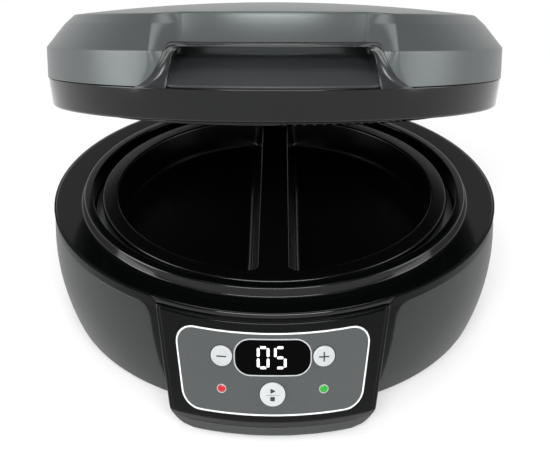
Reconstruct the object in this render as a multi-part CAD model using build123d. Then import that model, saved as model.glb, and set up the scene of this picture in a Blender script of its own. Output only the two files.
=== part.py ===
from build123d import *
import math
import os

os.makedirs("parts", exist_ok=True)

# Electric omelette maker. Z is up, the front is -Y, the origin is on the drum's axis at table level.
# The lid is modelled closed and turned open about its hinge before it is exported. Millimetres and degrees.

# drum: wells, plate, raised ring and rim, each from the one inside it
well_radius = 90.0
plate_wall = 3.0
plate_lip_width = 9.0
plate_clear = 4.6         # between the plate's lip and the raised ring
ring_width = 4.9
ring_slope = 1.5          # foot of the raised ring beyond its top
rim_width = 15.3          # dished face outside the raised ring
rim_top = 66.0            # crest of the rim above the table
rim_lip_height = 5.0      # outer skirt of the rim
rim_chamfer = 1.8
rim_dish = 1.7            # how far the rim falls towards the raised ring
rim_wall = 2.3
ring_rise = 3.0           # top of the raised ring above the crest
ring_edge = 0.6
shelf_drop = 9.0          # shelf that carries the heat shield and the plate, below the crest
pilot_depth = 12.0
foot_height = 3.0

# side covers and the cheeks of the rim that run down beside the pod
belly_out = 1.0           # widest place of the side covers, beyond the rim
belly_z = 28.0
hem_in = 5.3              # bottom edge, inside the widest place
cover_step = 0.1
cover_wall = 2.4
panel_gap = 0.2           # reveal between neighbouring housings
cheek_top = 3.4           # width of a cheek at its top and at its foot
cheek_low = 1.6
cheek_flare = 9.0         # corner that the side cover is rounded off by
cheek_round = 8.0

# front pod: a cone that leans forward, about the drum's axis
brow_out = 1.2            # brow beyond the rim
brow_drop = 3.2           # brow below the crest
brow_edge = 1.0
brow_height = 1.4
fascia_run = 15.0         # how far the fascia comes forward from its top edge to its low one
chin_in = 2.1
chin_height = 5.5
chin_base = 6.0           # chin above the pod's hem
pod_hem_in = 0.6
pod_half_top = 56.6       # half widths, seen from the front
pod_half_low = 48.9
pod_corner = 10.0
frame_wall = 1.7
frame_lip = 1.2
fascia_wall = 2.5
fascia_corner = 8.0
rim_to_pod = 0.3

# panel overlay, display, buttons and lamps; "down" is measured along the fascia from its top edge
overlay_side_top = 10.3   # from the pod's side to the overlay
overlay_side_low = 6.9
overlay_below_top = 4.9
overlay_above_low = 4.1
overlay_corner = 8.0
overlay_depth = 0.5
bezel_width = 1.3
bezel_proud = 0.25
display_width = 35.2
display_height = 17.0
display_corner = 7.0
display_down = 16.3
display_bezel_width = 1.2
module_margin = 2.2       # display module inside the window's outline
module_depth = 8.5
key_across = 24.3         # minus and plus keys, from the middle
key_down = 16.1
key_radius = 5.15
start_down = 34.8
start_radius = 6.1
key_proud = 0.8
key_clearance = 0.3
key_flange = 1.1          # how far the flange stands out round a key
key_flange_thick = 1.0
key_flange_gap = 0.2
key_travel = 0.8
key_stem_radius = 2.2
lamp_across = 24.4
lamp_down = 32.8
lamp_radius = 1.8
lamp_proud = 0.3
lamp_clearance = 0.05
lamp_seat = 2.0           # height of its seat on the board
board_depth = 14.0        # front of the control board behind the fascia's top edge
board_thick = 1.6
board_half_width = 42.0
board_top_down = 7.0
board_low_down = 46.0
switch_side = 6.0
switch_height = 3.6
plunger_radius = 1.7
plunger_clearance = 0.1
plunger_length = 1.5
plunger_sunk = 1.2
plunger_room = 0.3
boss_radius = 3.0
boss_across = 37.5
boss_downs = (11.5, 41.0)
pilot_radius = 1.2
board_pilot = 5.0
board_screw_reach = 4.0
screw_radius = 1.15
screw_clearance = 0.2
screw_head_radius = 2.4
screw_head_height = 1.5

# cooking plates
lip_rise = 0.5            # cooking face of the lower plate's lip, above the rim's crest
plate_lip_thick = 2.0
plate_lip_round = 0.8
plate_skirt = 3.0
plate_skirt_in = 0.5
well_divider = 16.0       # width of the wall between the wells
well_corner = 5.0
well_depth = 20.0
well_taper = 10.0
plate_gap = 0.5           # between the two lips when the lid is closed
dome_depth = 6.0          # recesses of the upper plate

# heaters and what holds them
heater_radius = 58.0
tube_radius = 3.2
heater_sweep = 320.0
tube_tail = 14.0
tail_clearance = 1.0
seat_gap = 0.1
clamp_width = 8.0
clamp_sheet = 1.0
clamp_clearance = 0.2
clamp_ear = 5.6
clamp_angles = (30, 150, 210, 330)
sheet = 0.8               # heat shields
shield_clear = 0.2
shield_flange_in = 0.8    # flange inside the raised ring
shield_draft = 3.0
shield_bore = 12.0
lower_shield_depth = 25.8
upper_shield_depth = 13.0
standoff_radius = 4.0
standoff_across = 34.0
thread_radius = 1.5
thread_clearance = 0.05
thread_floor = 0.8        # metal left over a threaded hole in a plate
bolt_end_gap = 0.4
bolt_head_radius = 3.0
bolt_head_height = 1.8
sensor_across = 24.0
sensor_radius = 5.0
sensor_height = 3.0
sensor_stem_radius = 3.0
sensor_stem = 5.0
fuse_across = 24.0
fuse_radius = 2.2
fuse_length = 14.0
lead_radius = 0.5
lead_length = 6.0

# bottom cover
cover_floor = 2.0
cover_upstand = 4.0
column_radius = 3.5
column_in = 12.1          # screw columns inside the rim's edge
column_angle = 11.2       # from the X axis
pod_opening_side = 8.0    # openings of the upstand, wider than the pod and the hinge housing
opening_reach = 40.0
foot_in = 9.4
foot_angle = 36.9
foot_radius = 9.0
foot_chamfer = 0.8
foot_spigot = 4.0
vent_length = 26.0
vent_width = 3.0
vent_pitch = 8.0
vent_rows = 7
vent_across = 20.8
vent_forward = 62.0

# power board inside the base
board_stand = 7.0         # board above the floor of the bottom cover
power_board_half = (44.0, 30.0)
power_board_y = 18.0
power_hole_in = 5.0
power_screw_length = 6.0
transformer_size = (24.0, 20.0, 13.0)
transformer_at = (-22.0, -12.0)
terminal_size = (28.0, 9.0, 9.0)
terminal_at = (18.0, 20.0)
capacitor_radius = 5.0
capacitor_height = 14.0
capacitor_at = (6.0, -16.0)
relay_size = (19.0, 15.0, 15.0)
relay_at = (-20.0, 12.0)
ribbon_width = 18.0
ribbon_thick = 1.2
ribbon_across = -9.0
ribbon_bend = 5.0
ribbon_lap = 4.0
ribbon_low = 3.0          # lowest run above the floor of the bottom cover
ribbon_runs = (10.0, 80.0, 96.0)
ribbon_down = 37.4        # where it meets the back of the control board
ribbon_gap = 0.5

# hinge
hinge_back = 7.7          # hinge axis behind the rim
lid_rest_angle = 19.3
pin_radius = 2.5
pin_chamfer = 0.4
pin_fit = 0.02            # in the ears
bush_fit = 0.05           # in the bushes
arm_bore_clearance = 0.35
barrel_radius = 6.3
barrel_half = 29.0
bush_radius = 4.0
bush_length = 9.0
bush_flange = 1.2
bush_flange_radius = 5.6
ear_gap = 0.3
ear_thick = 10.5
ear_radius = 7.5
ear_blind = 2.0
housing_half = 44.0
housing_inside = 13.3     # front edge of the housing inside the rim
housing_behind = 9.5      # back wall behind the hinge axis
housing_wall = 2.5
housing_bevel = 5.0
barrel_clearance = 0.7
gland_rise = 15.0
gland_bore = 3.5
gland_radius = 5.5
gland_flange_radius = 6.8
gland_flange = 1.6
gland_length = 8.5
gland_collar = 2.0
gland_collar_out = 1.0

# lid, closed: each ring from the one under it
lid_gap = 1.5             # underside of the band above the raised ring
band_clear = 2.0          # bore outside the upper plate
band_in = 4.3             # foot of the band inside the rim's edge
band_flare = 1.8
band_height = 14.8
band_edge = 1.4
band_wall = 2.4
crown_gap = 0.2
crown_step = 0.6
ridge_out = 1.1
ridge_rise = 15.5
facet_run = 10.9
facet_rise = 12.0
shoulder_run = 5.4
shoulder_rise = 4.6
dome_rise = 6.9
crown_wall = 2.5
scoop_angle = 28.5        # half of the scooped front
scoop_in = 5.0            # top of the scoop inside the shoulder
scoop_sweep = 4.3
scoop_rise = 0.4
waist_rise = 4.2
scoop_round = 7.5         # its inner corners
scoop_overrun = 0.5       # the scoop runs out just above the crown's lower edge
arch_half_low = 50.6
arch_half_top = 47.3
arch_flare = 9.0
arch_rise = 4.0           # top of the arch above the ridge
arch_round = 6.0
trim_width = 4.0
trim_top_width = 2.2
mouth_round = 5.5
pocket_in = 11.2          # back wall of the finger pocket inside the scoop
pocket_drop = 2.0
pocket_lip = 0.8
pocket_wall = 1.8
lid_column_radius = 4.0
lid_column_in = 13.6
lid_column_angles = (-27.8, 45.0, 135.0, 207.8)
lid_pilot_depth = 14.0
arm_thick = 3.2
arm_inside = 12.8         # front edge of the arm's foot inside the rim
web_clear = 1.8           # web behind the band
web_thick = 6.4
web_height = 14.0
web_round = 2.0
arm_screw_across = 18.0
arm_screw_in = 8.3
arm_boss_wall = 2.25
arm_boss_height = 9.0

# what follows from the sizes above
plate_radius = well_radius + plate_lip_width
shield_top_radius = well_radius + plate_wall
shield_low_radius = shield_top_radius - shield_draft
shelf_bore = shield_top_radius + sheet + shield_clear
ring_bore = plate_radius + plate_clear
shield_flange_radius = ring_bore - shield_flange_in
ring_radius = ring_bore + ring_width
ring_foot_radius = ring_radius + ring_slope
rim_radius = ring_foot_radius + rim_width
ring_top = rim_top + ring_rise
shelf_z = rim_top - shelf_drop
lip_z = rim_top - rim_lip_height
cover_top_z = lip_z - panel_gap
cover_top_radius = rim_radius - cover_step
belly_radius = rim_radius + belly_out
hem_radius = belly_radius - hem_in
cover_radius = hem_radius - cover_wall - panel_gap
floor_top = foot_height + cover_floor
pod_brow_radius = rim_radius + brow_out
pod_brow_z = rim_top - brow_drop
pod_top_radius = pod_brow_radius + brow_edge
pod_top_z = pod_brow_z - brow_height
pod_low_radius = pod_top_radius + fascia_run
pod_chin_z = foot_height + chin_base
pod_low_z = pod_chin_z + chin_height
pod_chin_radius = pod_low_radius - chin_in
pod_hem_radius = pod_chin_radius - pod_hem_in
overlay_half_top = pod_half_top - overlay_side_top
overlay_half_low = pod_half_low - overlay_side_low
overlay_top_z = pod_top_z - overlay_below_top
overlay_low_z = pod_low_z + overlay_above_low
lean = math.atan2(fascia_run, pod_top_z - pod_low_z)
face_length = math.hypot(fascia_run, pod_top_z - pod_low_z)
face_plane = Plane(origin=(0, -pod_top_radius, pod_top_z), x_dir=(1, 0, 0),
                   z_dir=(0, -math.cos(lean), math.sin(lean)))
board_front = -board_depth
plate_lip_z = rim_top + lip_rise
lower_floor = plate_lip_z - well_depth - plate_wall
lower_heater_z = lower_floor - tube_radius - seat_gap
upper_lip_z = plate_lip_z + plate_gap
upper_floor = upper_lip_z + dome_depth + plate_wall
upper_heater_z = upper_floor + tube_radius + seat_gap
heater_gap = math.radians((360 - heater_sweep) / 2)
power_board_z = floor_top + board_stand
power_board_top = power_board_z + board_thick
hinge_y = rim_radius + hinge_back
hinge_z = rim_top
hinge_axis = Axis((0, hinge_y, hinge_z), (1, 0, 0))
housing_front = rim_radius - housing_inside
housing_back = hinge_y + housing_behind
gland_z = foot_height + gland_rise
ear_start = barrel_half + bush_flange + ear_gap
pin_half = ear_start + ear_thick - ear_blind
lid_z = ring_top + lid_gap
band_bore = plate_radius + band_clear
band_low_radius = rim_radius - band_in
band_top_radius = band_low_radius + band_flare
band_floor_z = lid_z + band_wall
upper_seat_z = band_floor_z + sheet
crown_z = lid_z + band_height + crown_gap
crown_low_radius = band_top_radius + crown_step
ridge_radius = crown_low_radius + ridge_out
ridge_z = crown_z + ridge_rise
facet_radius = ridge_radius - facet_run
facet_z = ridge_z + facet_rise
shoulder_radius = facet_radius - shoulder_run
shoulder_z = facet_z + shoulder_rise
crown_top_z = shoulder_z + dome_rise
scoop_radius = shoulder_radius - scoop_in
scoop_z = shoulder_z + scoop_rise
waist_radius = scoop_radius + scoop_sweep
waist_z = ridge_z + waist_rise
arch_z = ridge_z + arch_rise
mouth_half_low = arch_half_low - trim_width
mouth_half_top = arch_half_top - trim_width
mouth_z = arch_z - trim_top_width
pocket_radius = scoop_radius - pocket_in
pocket_z = ridge_z - pocket_drop
arm_low_z = lid_z - arm_thick
arm_front = rim_radius - arm_inside
arm_screw_y = rim_radius - arm_screw_in
web_front = band_top_radius + web_clear
over = 1.0                # how far a cutter runs past what it cuts
big = 400.0


def save(shape, name):
    export_step(shape, f"parts/{name}.step")


def save_lid(shape, name):
    solids = [solid.rotate(hinge_axis, -lid_rest_angle) for solid in shape.solids()]
    save(solids[0] if len(solids) == 1 else Compound(solids), name)


def turned(points, arc=360.0, start=0.0):
    """Solid of revolution about Z from (radius, z) corners."""
    face = make_face(Plane.XZ * Polyline(*points, close=True))
    return revolve(Rot(0, 0, start) * face, Axis.Z, arc)


def front_sector(points):
    """The same, over the sixty degrees at the front."""
    return turned(points, 60.0, -120.0)


def seen_from_front(sketch, back=0.0):
    """Prism along Y of a sketch drawn in X and Z, from a depth forwards."""
    return Pos(0, back, 0) * extrude(Plane.XZ * sketch, big)


def trapezoid(half_top, half_low, top, low, corner_low=0.0, corner_top=0.0):
    face = make_face(Polyline((-half_low, low), (half_low, low), (half_top, top), (-half_top, top), close=True))
    if corner_low:
        face = fillet(face.vertices().group_by(Axis.Y)[0], corner_low)
    if corner_top:
        face = fillet(face.vertices().group_by(Axis.Y)[-1], corner_top)
    return face


def rod(radius, low, high, x=0.0, y=0.0):
    return Pos(x, y, low) * extrude(Circle(radius), high - low)


def block(size, x, y, low):
    """Box that stands on a level, centred on a place."""
    return Pos(x, y, low) * Box(*size, align=(Align.CENTER, Align.CENTER, Align.MIN))


def face_rod(radius, low, high, x, down):
    """Cylinder square to the fascia, from one depth to another."""
    return face_plane * Pos(x, -down, low) * extrude(Circle(radius), high - low)


def on_face(down, out):
    """Radius and height of a point on the cone of the fascia."""
    return (pod_top_radius + down * math.sin(lean) + out * math.cos(lean),
            pod_top_z - down * math.cos(lean) + out * math.sin(lean))


def face_skin(outer, inner, top=0.0, low=face_length):
    """Layer of the cone between two offsets from the fascia's surface."""
    return front_sector([on_face(top, outer), on_face(low, outer), on_face(low, inner), on_face(top, inner)])


def across_rod(radius, half, x=0.0):
    """Cylinder about the hinge axis."""
    return Pos(x, hinge_y, hinge_z) * Rot(0, 90, 0) * Cylinder(radius, 2 * half)


def gland_rod(radius, front, back):
    """Cylinder along the cord's way out, between two depths."""
    return Pos(0, (front + back) / 2, gland_z) * Rot(90, 0, 0) * Cylinder(radius, back - front)


def group(shapes):
    return Compound([solid for shape in shapes for solid in shape.solids()])


def four(across, along):
    return [(x, y) for x in (across, -across) for y in (along, -along)]


def ring_places(radius, angles):
    return [(radius * math.cos(math.radians(a)), radius * math.sin(math.radians(a))) for a in angles]


def mirrored_places(radius, angle):
    return ring_places(radius, (angle, -angle, 180 - angle, 180 + angle))


rim_columns = mirrored_places(rim_radius - column_in, column_angle)
feet_places = mirrored_places(cover_radius - foot_in, foot_angle)
lid_columns = ring_places(band_low_radius - lid_column_in, lid_column_angles)
standoffs = four(standoff_across, standoff_across)
board_bosses = [(x, down) for x in (boss_across, -boss_across) for down in boss_downs]
board_posts = [(x, power_board_y + y)
               for x, y in four(power_board_half[0] - power_hole_in, power_board_half[1] - power_hole_in)]
keys = {"minus": (-key_across, key_down, key_radius), "plus": (key_across, key_down, key_radius),
        "start": (0.0, start_down, start_radius)}
lamps = {"power": -lamp_across, "ready": lamp_across}


# base housings
def cover_shell():
    """Bellied wall round the drum, from the hem to just under the rim's skirt."""
    outer = ThreePointArc((hem_radius, foot_height), (belly_radius, belly_z), (cover_top_radius, cover_top_z))
    inner = ThreePointArc((cover_top_radius - cover_wall, cover_top_z), (belly_radius - cover_wall, belly_z),
                          (hem_radius - cover_wall, foot_height))
    top = Line((cover_top_radius, cover_top_z), (cover_top_radius - cover_wall, cover_top_z))
    hem = Line((hem_radius - cover_wall, foot_height), (hem_radius, foot_height))
    return revolve(make_face(Plane.XZ * (outer + top + inner + hem)), Axis.Z)


def cheek_prism(grow=0.0):
    """Front of the base between the side covers: the pod and a cheek on each side, flared under the rim."""
    shoulder = lip_z - cheek_flare
    half_shoulder = pod_half_top + cheek_top + grow
    half_low = pod_half_low + cheek_low + grow
    corners = [(half_low, 0), (half_shoulder, shoulder), (half_shoulder + cheek_flare, lip_z),
               (half_shoulder + cheek_flare, rim_top)]
    corners += [(-x, z) for x, z in reversed(corners)]
    face = make_face(Polyline(*corners, close=True))
    knees = [v for v in face.vertices() if abs(v.Y - shoulder) < over / 2]
    return seen_from_front(fillet(knees, cheek_round))


def pod_prism(grow=0.0):
    return seen_from_front(trapezoid(pod_half_top + grow, pod_half_low + grow, pod_brow_z, foot_height - grow))


def make_rim():
    foot_z = rim_top - rim_dish
    inner = ring_bore + rim_wall
    profile = [(rim_radius, lip_z), (rim_radius, rim_top - rim_chamfer), (rim_radius - rim_chamfer, rim_top),
               (ring_foot_radius, foot_z), (ring_radius, ring_top), (ring_bore + ring_edge, ring_top),
               (ring_bore, ring_top - ring_edge), (ring_bore, shelf_z), (shelf_bore, shelf_z),
               (shelf_bore, shelf_z - rim_wall), (inner, shelf_z - rim_wall), (inner, foot_z - rim_wall),
               (rim_radius - rim_wall, rim_top - rim_wall), (rim_radius - rim_wall, lip_z)]
    rim = turned(profile)
    middle = rim_radius - rim_wall / 2
    column_room = turned([(inner, floor_top), (middle, floor_top), (middle, rim_top - rim_wall),
                          (inner, foot_z - rim_wall / 2)])
    for x, y in rim_columns:
        rim += rod(column_radius, floor_top, rim_top, x, y) & column_room
        rim -= rod(pilot_radius, floor_top, floor_top + pilot_depth, x, y)
    neck = turned([(cover_top_radius - cover_wall, cover_top_z - panel_gap), (cover_top_radius, cover_top_z - panel_gap),
                   (cover_top_radius, lip_z + panel_gap), (cover_top_radius - cover_wall, lip_z + panel_gap)])
    cheeks = ((cover_shell() + neck) & cheek_prism()) - pod_prism(panel_gap)
    return rim + cheeks


def make_side_covers():
    rear = Pos(0, big / 2, 0) * Box(2 * (housing_half + panel_gap), big, big)
    return (cover_shell() - cheek_prism(panel_gap) - rear).solids().sort_by(Axis.X)


def pod_outline():
    return trapezoid(pod_half_top, pod_half_low, pod_brow_z, foot_height, pod_corner)


def fascia_outline():
    slope = (pod_half_top - pod_half_low) / (pod_brow_z - foot_height)
    return trapezoid(pod_half_top - frame_wall, pod_half_low + slope * chin_base - frame_wall,
                     pod_brow_z, pod_chin_z, fascia_corner)


def pod_profile():
    return [(pod_brow_radius, pod_brow_z), (pod_top_radius, pod_top_z), (pod_low_radius, pod_low_z),
            (pod_chin_radius, pod_chin_z)]


def make_pod_frame():
    solid = front_sector([(cover_radius, pod_brow_z)] + pod_profile()
                         + [(pod_hem_radius, foot_height), (cover_radius, foot_height)])
    frame = solid & seen_from_front(pod_outline())
    frame -= rod(rim_radius + rim_to_pod, cover_top_z, rim_top)
    frame -= seen_from_front(fascia_outline())
    inside = trapezoid(pod_half_low - frame_wall + frame_lip, pod_half_low - frame_wall,
                       pod_chin_z + panel_gap / 4, foot_height)
    return frame - (rod(pod_hem_radius - fascia_wall, 0, pod_chin_z) & seen_from_front(inside))


def make_fascia():
    rim_clear = rim_radius + rim_to_pod
    meet = (rim_clear - on_face(0, -fascia_wall)[0]) / math.sin(lean)
    skin = front_sector([(rim_clear, pod_brow_z)] + pod_profile()
                        + [(pod_chin_radius - fascia_wall, pod_chin_z), on_face(face_length, -fascia_wall),
                           on_face(meet, -fascia_wall), (rim_clear, pod_brow_z - fascia_wall)])
    fascia = skin & seen_from_front(fascia_outline())
    behind = front_sector([on_face(0, -over), on_face(face_length, -over), (pod_low_radius / 2, pod_low_z),
                           (pod_low_radius / 2, pod_top_z)])
    for x, down in board_bosses:
        fascia += face_rod(boss_radius, board_front, 0, x, down) & behind
    for x, down in board_bosses:
        fascia -= face_rod(pilot_radius, board_front, board_front + board_pilot, x, down)
    fascia -= face_skin(over, -overlay_depth) & seen_from_front(overlay_outline(bezel_width))
    return fascia - panel_holes()


def overlay_outline(grow=0.0):
    return trapezoid(overlay_half_top + grow, overlay_half_low + grow, overlay_top_z + grow,
                     overlay_low_z - grow, overlay_corner + grow, overlay_corner + grow)


def display_prism(grow=0.0):
    outline = RectangleRounded(display_width + 2 * grow, display_height + 2 * grow, display_corner + grow)
    return face_plane * Pos(0, -display_down, -board_depth) * extrude(outline, board_depth + over)


def panel_holes():
    holes = [face_rod(radius + key_clearance, -board_depth, over, x, down) for x, down, radius in keys.values()]
    holes += [face_rod(lamp_radius + lamp_clearance, -board_depth, over, x, lamp_down) for x in lamps.values()]
    return holes + [display_prism(display_bezel_width)]


def make_overlay():
    return (face_skin(0, -overlay_depth) & seen_from_front(overlay_outline())) - panel_holes()


def make_panel_bezel():
    skin = face_skin(bezel_proud, -overlay_depth)
    return (skin & seen_from_front(overlay_outline(bezel_width))) - seen_from_front(overlay_outline())


def make_display_bezel():
    return (face_skin(bezel_proud, -fascia_wall) & display_prism(display_bezel_width)) - display_prism()


def make_display_window():
    return face_skin(0, -fascia_wall) & display_prism()


def make_display_module():
    body = block((display_width - 2 * module_margin, display_height - 2 * module_margin, module_depth), 0, 0, 0)
    return face_plane * Pos(0, -display_down, board_front) * body


def face_recess(across):
    """How far the cone falls behind the fascia's middle line at a distance to the side."""
    curve = (pod_top_radius + key_down * math.sin(lean)) / math.cos(lean)
    return curve - math.sqrt(curve * curve - across * across)


def make_key(name):
    x, down, radius = keys[name]
    seat = -face_recess(abs(x) + radius + key_flange) - fascia_wall - seat_gap - key_flange_gap
    cap = face_rod(radius, seat - key_flange_thick / 2, over, x, down) & face_skin(key_proud, -board_depth)
    flange = face_rod(radius + key_flange, seat - key_flange_thick, seat, x, down)
    stem_end = board_front + switch_height + plunger_length
    return cap + flange + face_rod(key_stem_radius, stem_end, seat - key_flange_thick / 2, x, down)


def make_plunger(name):
    x, down, radius = keys[name]
    top = board_front + switch_height
    return face_rod(plunger_radius, top - plunger_sunk, top + plunger_length, x, down)


def make_switches():
    top = board_front + switch_height
    well = top - plunger_sunk - key_travel - plunger_room
    return group([face_plane * Pos(0, 0, board_front) * block((switch_side, switch_side, switch_height), x, -down, 0)
                  - face_rod(plunger_radius + plunger_clearance, well, top + over, x, down)
                  for x, down, radius in keys.values()])


def make_lamp(name):
    return face_rod(lamp_radius, board_front + lamp_seat, over, lamps[name], lamp_down) & face_skin(
        lamp_proud, -board_depth)


def make_control_board():
    size = (2 * board_half_width, board_low_down - board_top_down, board_thick)
    board = face_plane * block(size, 0, -(board_low_down + board_top_down) / 2, board_front - board_thick)
    for x in lamps.values():
        board += face_rod(lamp_radius, board_front - board_thick / 2, board_front + lamp_seat, x, lamp_down)
    for x, down in board_bosses:
        board -= face_rod(screw_radius + screw_clearance, board_front - board_thick - over, board_front + over, x, down)
    return board


def make_board_screws():
    back = board_front - board_thick
    return group([face_rod(screw_head_radius, back - screw_head_height, back, x, down)
                  + face_rod(screw_radius, back, board_front + board_screw_reach, x, down)
                  for x, down in board_bosses])


# bottom cover, feet and the board inside
def make_bottom_cover():
    upstand_top = floor_top + cover_upstand
    cover = rod(cover_radius, foot_height, floor_top)
    cover += rod(cover_radius - panel_gap, floor_top, upstand_top) - rod(cover_radius - cover_wall, floor_top, big)
    front_reach = pod_hem_radius - fascia_wall - panel_gap
    front_half = pod_half_low - pod_corner
    rear_reach = housing_back - housing_bevel - housing_wall
    rear_half = housing_half - housing_wall - panel_gap
    cover += rod(front_reach, foot_height, floor_top) & block((2 * front_half, big, big), 0, -big / 2, 0)
    cover += block((2 * rear_half, rear_reach, cover_floor), 0, rear_reach / 2, foot_height)
    cover -= block((2 * (pod_half_low + pod_opening_side), 2 * opening_reach, big), 0, -cover_radius, floor_top)
    cover -= block((2 * (housing_half + over), opening_reach, big), 0, cover_radius, floor_top)
    for x, y in rim_columns:
        cover -= rod(column_radius + panel_gap, floor_top, upstand_top, x, y)
        cover -= rod(screw_radius + screw_clearance, foot_height, floor_top, x, y)
    for x, y in feet_places:
        cover -= rod(foot_spigot, foot_height, floor_top, x, y)
    for x, y in board_posts:
        cover += rod(boss_radius, floor_top - cover_floor / 2, power_board_z, x, y)
        cover -= rod(pilot_radius, floor_top + over, power_board_z, x, y)
    slot = extrude(SlotOverall(vent_length, vent_width), cover_floor + 2 * over)
    first = -vent_forward - vent_pitch * (vent_rows - 1) / 2
    for x in (vent_across, -vent_across):
        for row in range(vent_rows):
            cover -= Pos(x, first + row * vent_pitch, foot_height - over) * slot
    return cover


def make_feet():
    feet = []
    for x, y in feet_places:
        pad = rod(foot_radius, 0, foot_height, x, y)
        pad = chamfer(pad.edges().group_by(Axis.Z)[0], foot_chamfer)
        feet.append(pad + rod(foot_spigot, foot_height, floor_top, x, y))
    return group(feet)


def make_bottom_screws():
    return group([rod(screw_radius, foot_height, floor_top + pilot_depth - cover_floor, x, y)
                  + rod(screw_head_radius, foot_height - screw_head_height, foot_height, x, y)
                  for x, y in rim_columns])


def board_part(size, at):
    return block(size, at[0], power_board_y + at[1], power_board_top)


def make_power_board():
    half_x, half_y = power_board_half
    board = block((2 * half_x, 2 * half_y, board_thick), 0, power_board_y, power_board_z)
    for x, y in board_posts:
        board -= rod(screw_radius + screw_clearance, 0, big, x, y)
    capacitor = rod(capacitor_radius, power_board_top, power_board_top + capacitor_height, capacitor_at[0],
                    power_board_y + capacitor_at[1])
    return board + [board_part(transformer_size, transformer_at), board_part(terminal_size, terminal_at), capacitor]


def make_power_screws():
    return group([rod(screw_radius, power_board_top - power_screw_length, power_board_top, x, y)
                  + rod(screw_head_radius, power_board_top, power_board_top + screw_head_height, x, y)
                  for x, y in board_posts])


def make_ribbon():
    start = power_board_y - power_board_half[1]
    high = power_board_top + ribbon_thick / 2
    low = floor_top + ribbon_low
    end_radius, end_z = on_face(ribbon_down, board_front - board_thick - ribbon_gap)
    path = FilletPolyline((start + ribbon_lap, high), (start - ribbon_runs[0], high), (start - ribbon_runs[1], low),
                          (start - ribbon_runs[2], low), (-end_radius, end_z), radius=ribbon_bend)
    strip = trace(path, line_width=ribbon_thick)
    return Pos(ribbon_across, 0, 0) * extrude(Plane.YZ * strip, ribbon_width)


# cooking plates and heaters
def half_moon(grow=0.0):
    near = well_divider / 2 - grow
    side = make_face(Polyline((near, -big), (big, -big), (big, big), (near, big), close=True))
    moon = Circle(well_radius + grow) & side
    return fillet(moon.vertices(), well_corner + grow)


def wells(level, depth, grow=0.0, direction=-1):
    """Two tapered half-moon bodies, from a level down or up."""
    moon = extrude(Pos(0, 0, level) * half_moon(grow), depth, dir=(0, 0, direction), taper=well_taper)
    return [moon, mirror(moon, Plane.YZ)]


def make_lower_plate():
    top = plate_lip_z
    middle = plate_lip_thick / 2
    skirt_radius = plate_radius - plate_skirt_in
    plate = rod(plate_radius, top - plate_lip_thick, top)
    plate = fillet(plate.edges().group_by(Axis.Z)[-1], plate_lip_round)
    plate += rod(skirt_radius, shelf_z + sheet, top - middle) - rod(skirt_radius - plate_skirt, 0, big)
    plate += wells(top - middle, well_depth + plate_wall - middle, plate_wall)
    plate -= wells(top, well_depth)
    for x, y in standoffs:
        plate -= rod(thread_radius + thread_clearance, lower_floor - over, lower_floor + plate_wall - thread_floor, x, y)
    return plate


def make_upper_plate():
    low = upper_lip_z
    middle = plate_lip_thick / 2
    plate = rod(plate_radius, low, low + plate_lip_thick)
    plate = fillet(plate.edges().group_by(Axis.Z)[0], plate_lip_round)
    plate += rod(plate_radius, low + middle, band_floor_z) - rod(plate_radius - plate_skirt, 0, big)
    plate += wells(low + middle, dome_depth + plate_wall - middle, plate_wall, 1)
    plate -= wells(low, dome_depth, 0, 1)
    for x, y in standoffs:
        plate -= rod(thread_radius + thread_clearance, upper_floor - plate_wall + thread_floor, upper_floor + over, x, y)
    return plate


heater_ends = [(side * heater_radius * math.sin(heater_gap), heater_radius * math.cos(heater_gap)) for side in (-1, 1)]


def heater(z, tail):
    """Tube bent to an open ring, with two tails along Z."""
    section = Plane.XZ * Pos(heater_radius, z) * Circle(tube_radius)
    ring = revolve(Rot(0, 0, 90 + math.degrees(heater_gap)) * section, Axis.Z, heater_sweep)
    for x, y in heater_ends:
        ring += Pos(x, y, z) * Sphere(tube_radius)
        ring += rod(tube_radius, min(z, z + tail), max(z, z + tail), x, y)
    return ring


def clamp(z_plate, side):
    """Hat-shaped strap that holds a heater tube against a plate; side is -1 under it, 1 above it."""
    inner = tube_radius + clamp_clearance
    outer = inner + clamp_sheet
    reach = outer + clamp_ear
    deep = 2 * tube_radius + 2 * seat_gap
    points = [(-reach, 0), (-reach, clamp_sheet), (-outer, clamp_sheet), (-outer, deep + clamp_sheet),
              (outer, deep + clamp_sheet), (outer, clamp_sheet), (reach, clamp_sheet), (reach, 0),
              (inner, 0), (inner, deep), (-inner, deep), (-inner, 0)]
    strap = make_face(Polyline(*[(x, z_plate + side * z) for x, z in points], close=True))
    return Pos(heater_radius, 0, 0) * extrude(Plane.XZ * strap, clamp_width / 2, both=True)


def make_clamps(z_plate, side):
    return group([Rot(0, 0, angle) * clamp(z_plate, side) for angle in clamp_angles])


def shield(flange_z, depth, direction):
    """Pressed bowl round a heater, with a flat flange and holes for the tails and the bolts."""
    low = flange_z + direction * depth
    under = low + direction * sheet
    flange_far = flange_z - direction * sheet
    bowl = turned([(shield_top_radius, flange_far), (shield_top_radius, flange_z), (shield_low_radius, low),
                   (shield_bore, low), (shield_bore, under), (shield_low_radius + sheet, under),
                   (shield_top_radius + sheet, flange_z), (shield_flange_radius, flange_z),
                   (shield_flange_radius, flange_far)])
    for x, y in heater_ends:
        bowl -= rod(tube_radius + tail_clearance, 0, big, x, y)
    for x, y in standoffs:
        bowl -= rod(thread_radius + screw_clearance, 0, big, x, y)
    return bowl


def make_standoffs(low, high):
    return group([rod(standoff_radius, low, high, x, y) - rod(thread_radius + screw_clearance, low, high, x, y)
                  for x, y in standoffs])


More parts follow.
